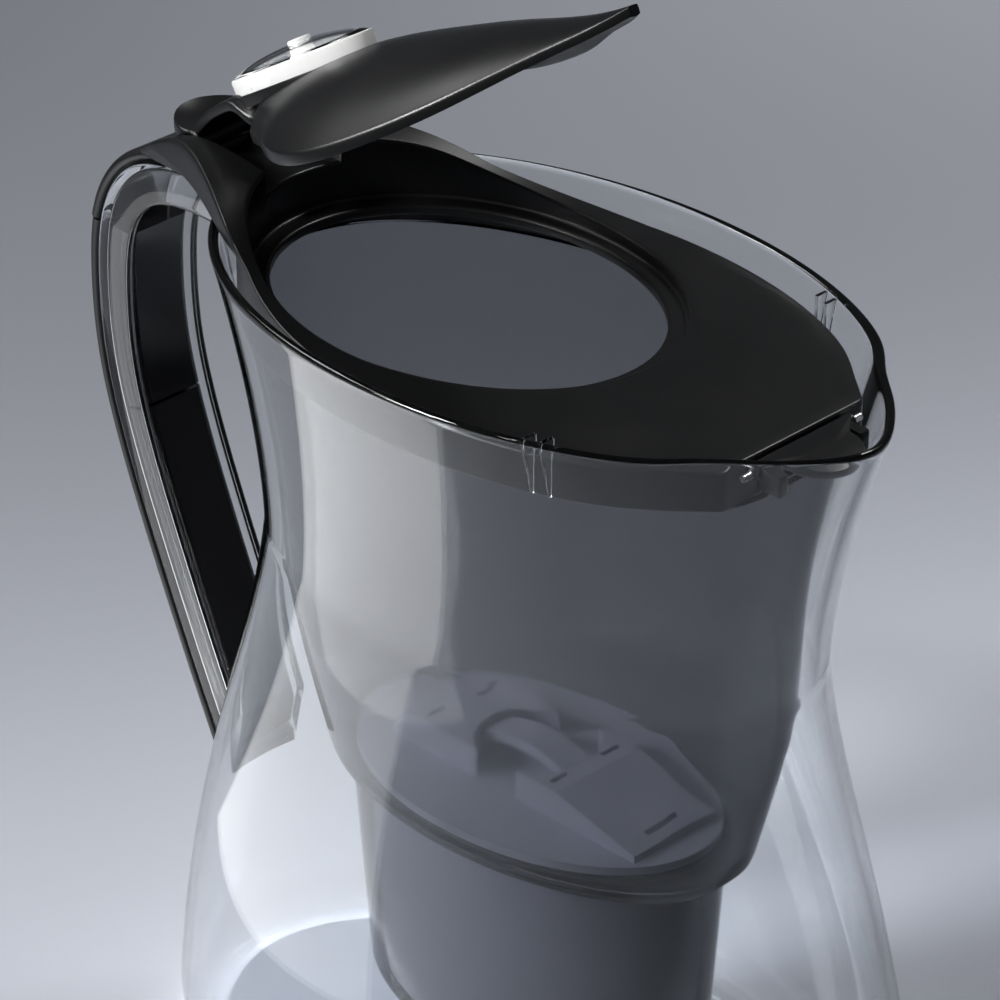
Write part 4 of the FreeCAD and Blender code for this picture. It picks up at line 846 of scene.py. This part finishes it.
# %% [markdown]
# ## The spout plate
# A small black plate closes the spout's mouth in front of the lid. It hangs on a knuckle with two lugs below.
# A box with a bevel modifier would be near it, but its round tip and drawn-in edges come from one outline.

# %% Spout plate
SPOUT_AXIS_X, SPOUT_AXIS_Z, SPOUT_PLATE, SPOUT_ROOT = 81.3, 227.5, 2.0, 16.5
SPOUT_TIP, SPOUT_TIP_RADIUS, SPOUT_CORNER, TIP_STEPS = 96.4, 10.0, 1.0, 25
KNUCKLE, KNUCKLE_BEVEL = 1.8, 0.3
LUG_PLACE, LUG_HALF, LUG_ROUND, LUG_REACH, LUG_RISE = 13.5, 1.5, 0.6, (0.5, 6.8), (-4.0, 1.0)


def spout_plate_grid():
    """The plate's outline, drawn in slightly at its upper and lower edges."""
    tip = np.linspace(-np.pi / 2, np.pi / 2, TIP_STEPS)
    centre = SPOUT_TIP - SPOUT_TIP_RADIUS
    arc = np.stack([centre + SPOUT_TIP_RADIUS * np.cos(tip), SPOUT_TIP_RADIUS * np.sin(tip)], -1)
    corners = np.vstack([[(SPOUT_AXIS_X, -SPOUT_ROOT)], arc, [(SPOUT_AXIS_X, SPOUT_ROOT)]])
    outline = rounded(corners, SPOUT_CORNER, 3)
    middle = np.array([(SPOUT_AXIS_X + SPOUT_TIP) / 2, 0])
    rows = [(0.3, 0.0), (0.96, 0.0), (1.0, 0.4), (1.0, SPOUT_PLATE - 0.5), (0.985, SPOUT_PLATE - 0.1),
            (0.95, SPOUT_PLATE), (0.3, SPOUT_PLATE)]
    return np.stack([
        np.column_stack([middle + (outline - middle) * share, np.full(len(outline), SPOUT_AXIS_Z + z)])
        for share, z in rows])


def lug_grid(side):
    """A lug under the plate, on one side of the mirror plane."""
    low, high = ((SPOUT_AXIS_X + LUG_REACH[k], side * LUG_PLACE + (-LUG_HALF, LUG_HALF)[k],
                  SPOUT_AXIS_Z + LUG_RISE[k]) for k in (0, 1))
    return block_grid(low, high, LUG_ROUND)


knuckle = rod_grid(KNUCKLE, SPOUT_ROOT, KNUCKLE_BEVEL) + np.array([SPOUT_AXIS_X, 0, SPOUT_AXIS_Z])
spout_grids = [spout_plate_grid(), knuckle, lug_grid(-1), lug_grid(1)]
spout_plate = add_piece("spout_plate", [closed_surface(grid) for grid in spout_grids], satin_black,
                        "spout_cover", ["spout_flap"])

# %% [markdown]
# ## Floor, light and camera
# A plain pale floor and soft lamps show the form. An evenly white room would light it as well, but clear
# plastic needs edges to mirror. The key lamp lights the floor on the left, which the near wall mirrors. The
# fill lamp shines through the walls onto the cartridge. The flap lamp lifts the white tray and the back lamp
# the floor behind. A low card lays a broad light patch on the near wall, and a small lamp behind draws the
# line of the rim.

# %% Floor
FLOOR_SIZE = 6.0
floor_mesh = bpy.data.meshes.new("floor")
corner = FLOOR_SIZE / 2
floor_corners = [(-corner, -corner, 0), (corner, -corner, 0), (corner, corner, 0), (-corner, corner, 0)]
floor_mesh.from_pydata(floor_corners, [], [(0, 1, 2, 3)])
floor = bpy.data.objects.new("floor", floor_mesh)
bpy.context.scene.collection.objects.link(floor)
floor_finish = finish("pale_floor", (0.5, 0.52, 0.58), 0.8)
floor_mesh.materials.append(floor_finish)
print("floor:", FLOOR_SIZE, "m square")

# %% Lamps
WORLD_COLOR, WORLD_STRENGTH = (0.9, 0.93, 1.0), 0.07


def aim(thing, position, target):
    """Turn a lamp or camera so that it looks along -Z at a target."""
    back = np.array(position, float) - np.array(target, float)
    back /= np.linalg.norm(back)
    right = np.cross((0, 0, 1), back)
    right /= np.linalg.norm(right)
    turn = np.eye(4)
    turn[:3, 0], turn[:3, 1], turn[:3, 2], turn[:3, 3] = right, np.cross(back, right), back, position
    thing.matrix_world = Matrix(turn.tolist())


def soft_lamp(name, position, target, size, power, spread):
    """A large square lamp that looks at a target, with its light held within an angle in degrees."""
    data = bpy.data.lights.new(name, "AREA")
    data.size, data.energy, data.spread = size, power, math.radians(spread)
    lamp = bpy.data.objects.new(name, data)
    bpy.context.scene.collection.objects.link(lamp)
    aim(lamp, position, target)
    return lamp


soft_lamp("key_lamp", (-1.0, -0.35, 0.95), (-0.3, -0.22, 0), size=0.6, power=1.1, spread=52)
soft_lamp("fill_lamp", (-0.62, -1.05, 0.75), (-0.02, 0, 0.1), size=0.4, power=0.75, spread=24)
soft_lamp("flap_lamp", (-0.3, -0.9, 1.2), (-0.09, 0, 0.3), size=0.2, power=0.04, spread=12)
soft_lamp("back_lamp", (-0.3, 1.3, 1.3), (-0.4, 0.85, 0), size=0.8, power=2.6, spread=70)
soft_lamp("left_card", (-0.2, -0.165, 0.05), (-0.135, -0.1, 0.25), size=0.19, power=0.12, spread=170)
soft_lamp("rim_lamp", (-0.05, 0.75, 1.25), (0, 0, 0.22), size=0.15, power=0.08, spread=25)

world = bpy.data.worlds.new("studio")
bpy.context.scene.world = world
world.use_nodes = True
background = world.node_tree.nodes["Background"]
background.inputs["Color"].default_value = (*WORLD_COLOR, 1.0)
background.inputs["Strength"].default_value = WORLD_STRENGTH
print("lamps:", len(bpy.data.lights))

# %% Camera
CAMERA_AZIMUTH, CAMERA_ELEVATION, CAMERA_DISTANCE = math.radians(45.11), math.radians(30.40), 1.0811
CAMERA_TARGET = np.array([-0.01103, 0.0, 0.16763])
FOCAL_PIXELS, PICTURE_PIXELS, SENSOR_MM = 4501.0, 1000.0, 36.0
CENTRE_PIXEL = (507.21, 530.04)
camera_data = bpy.data.cameras.new("camera")
camera_data.sensor_width = SENSOR_MM
camera_data.lens = FOCAL_PIXELS / PICTURE_PIXELS * SENSOR_MM
camera_data.shift_x = (PICTURE_PIXELS / 2 - CENTRE_PIXEL[0]) / PICTURE_PIXELS
camera_data.shift_y = (CENTRE_PIXEL[1] - PICTURE_PIXELS / 2) / PICTURE_PIXELS
camera = bpy.data.objects.new("camera", camera_data)
bpy.context.scene.collection.objects.link(camera)
camera_back = np.array([math.sin(CAMERA_AZIMUTH) * math.cos(CAMERA_ELEVATION),
                        -math.cos(CAMERA_AZIMUTH) * math.cos(CAMERA_ELEVATION), math.sin(CAMERA_ELEVATION)])
aim(camera, CAMERA_TARGET + camera_back * CAMERA_DISTANCE, CAMERA_TARGET)
bpy.context.scene.camera = camera
bpy.context.scene.view_settings.view_transform = "Standard"
print("camera:", [round(c, 3) for c in camera.matrix_world.translation])

# %% [markdown]
# ## The end
# The view layer is brought up to date. The dressed pitcher has to stay inside the box of its
# solids.

# %% The end
bpy.context.view_layer.update()
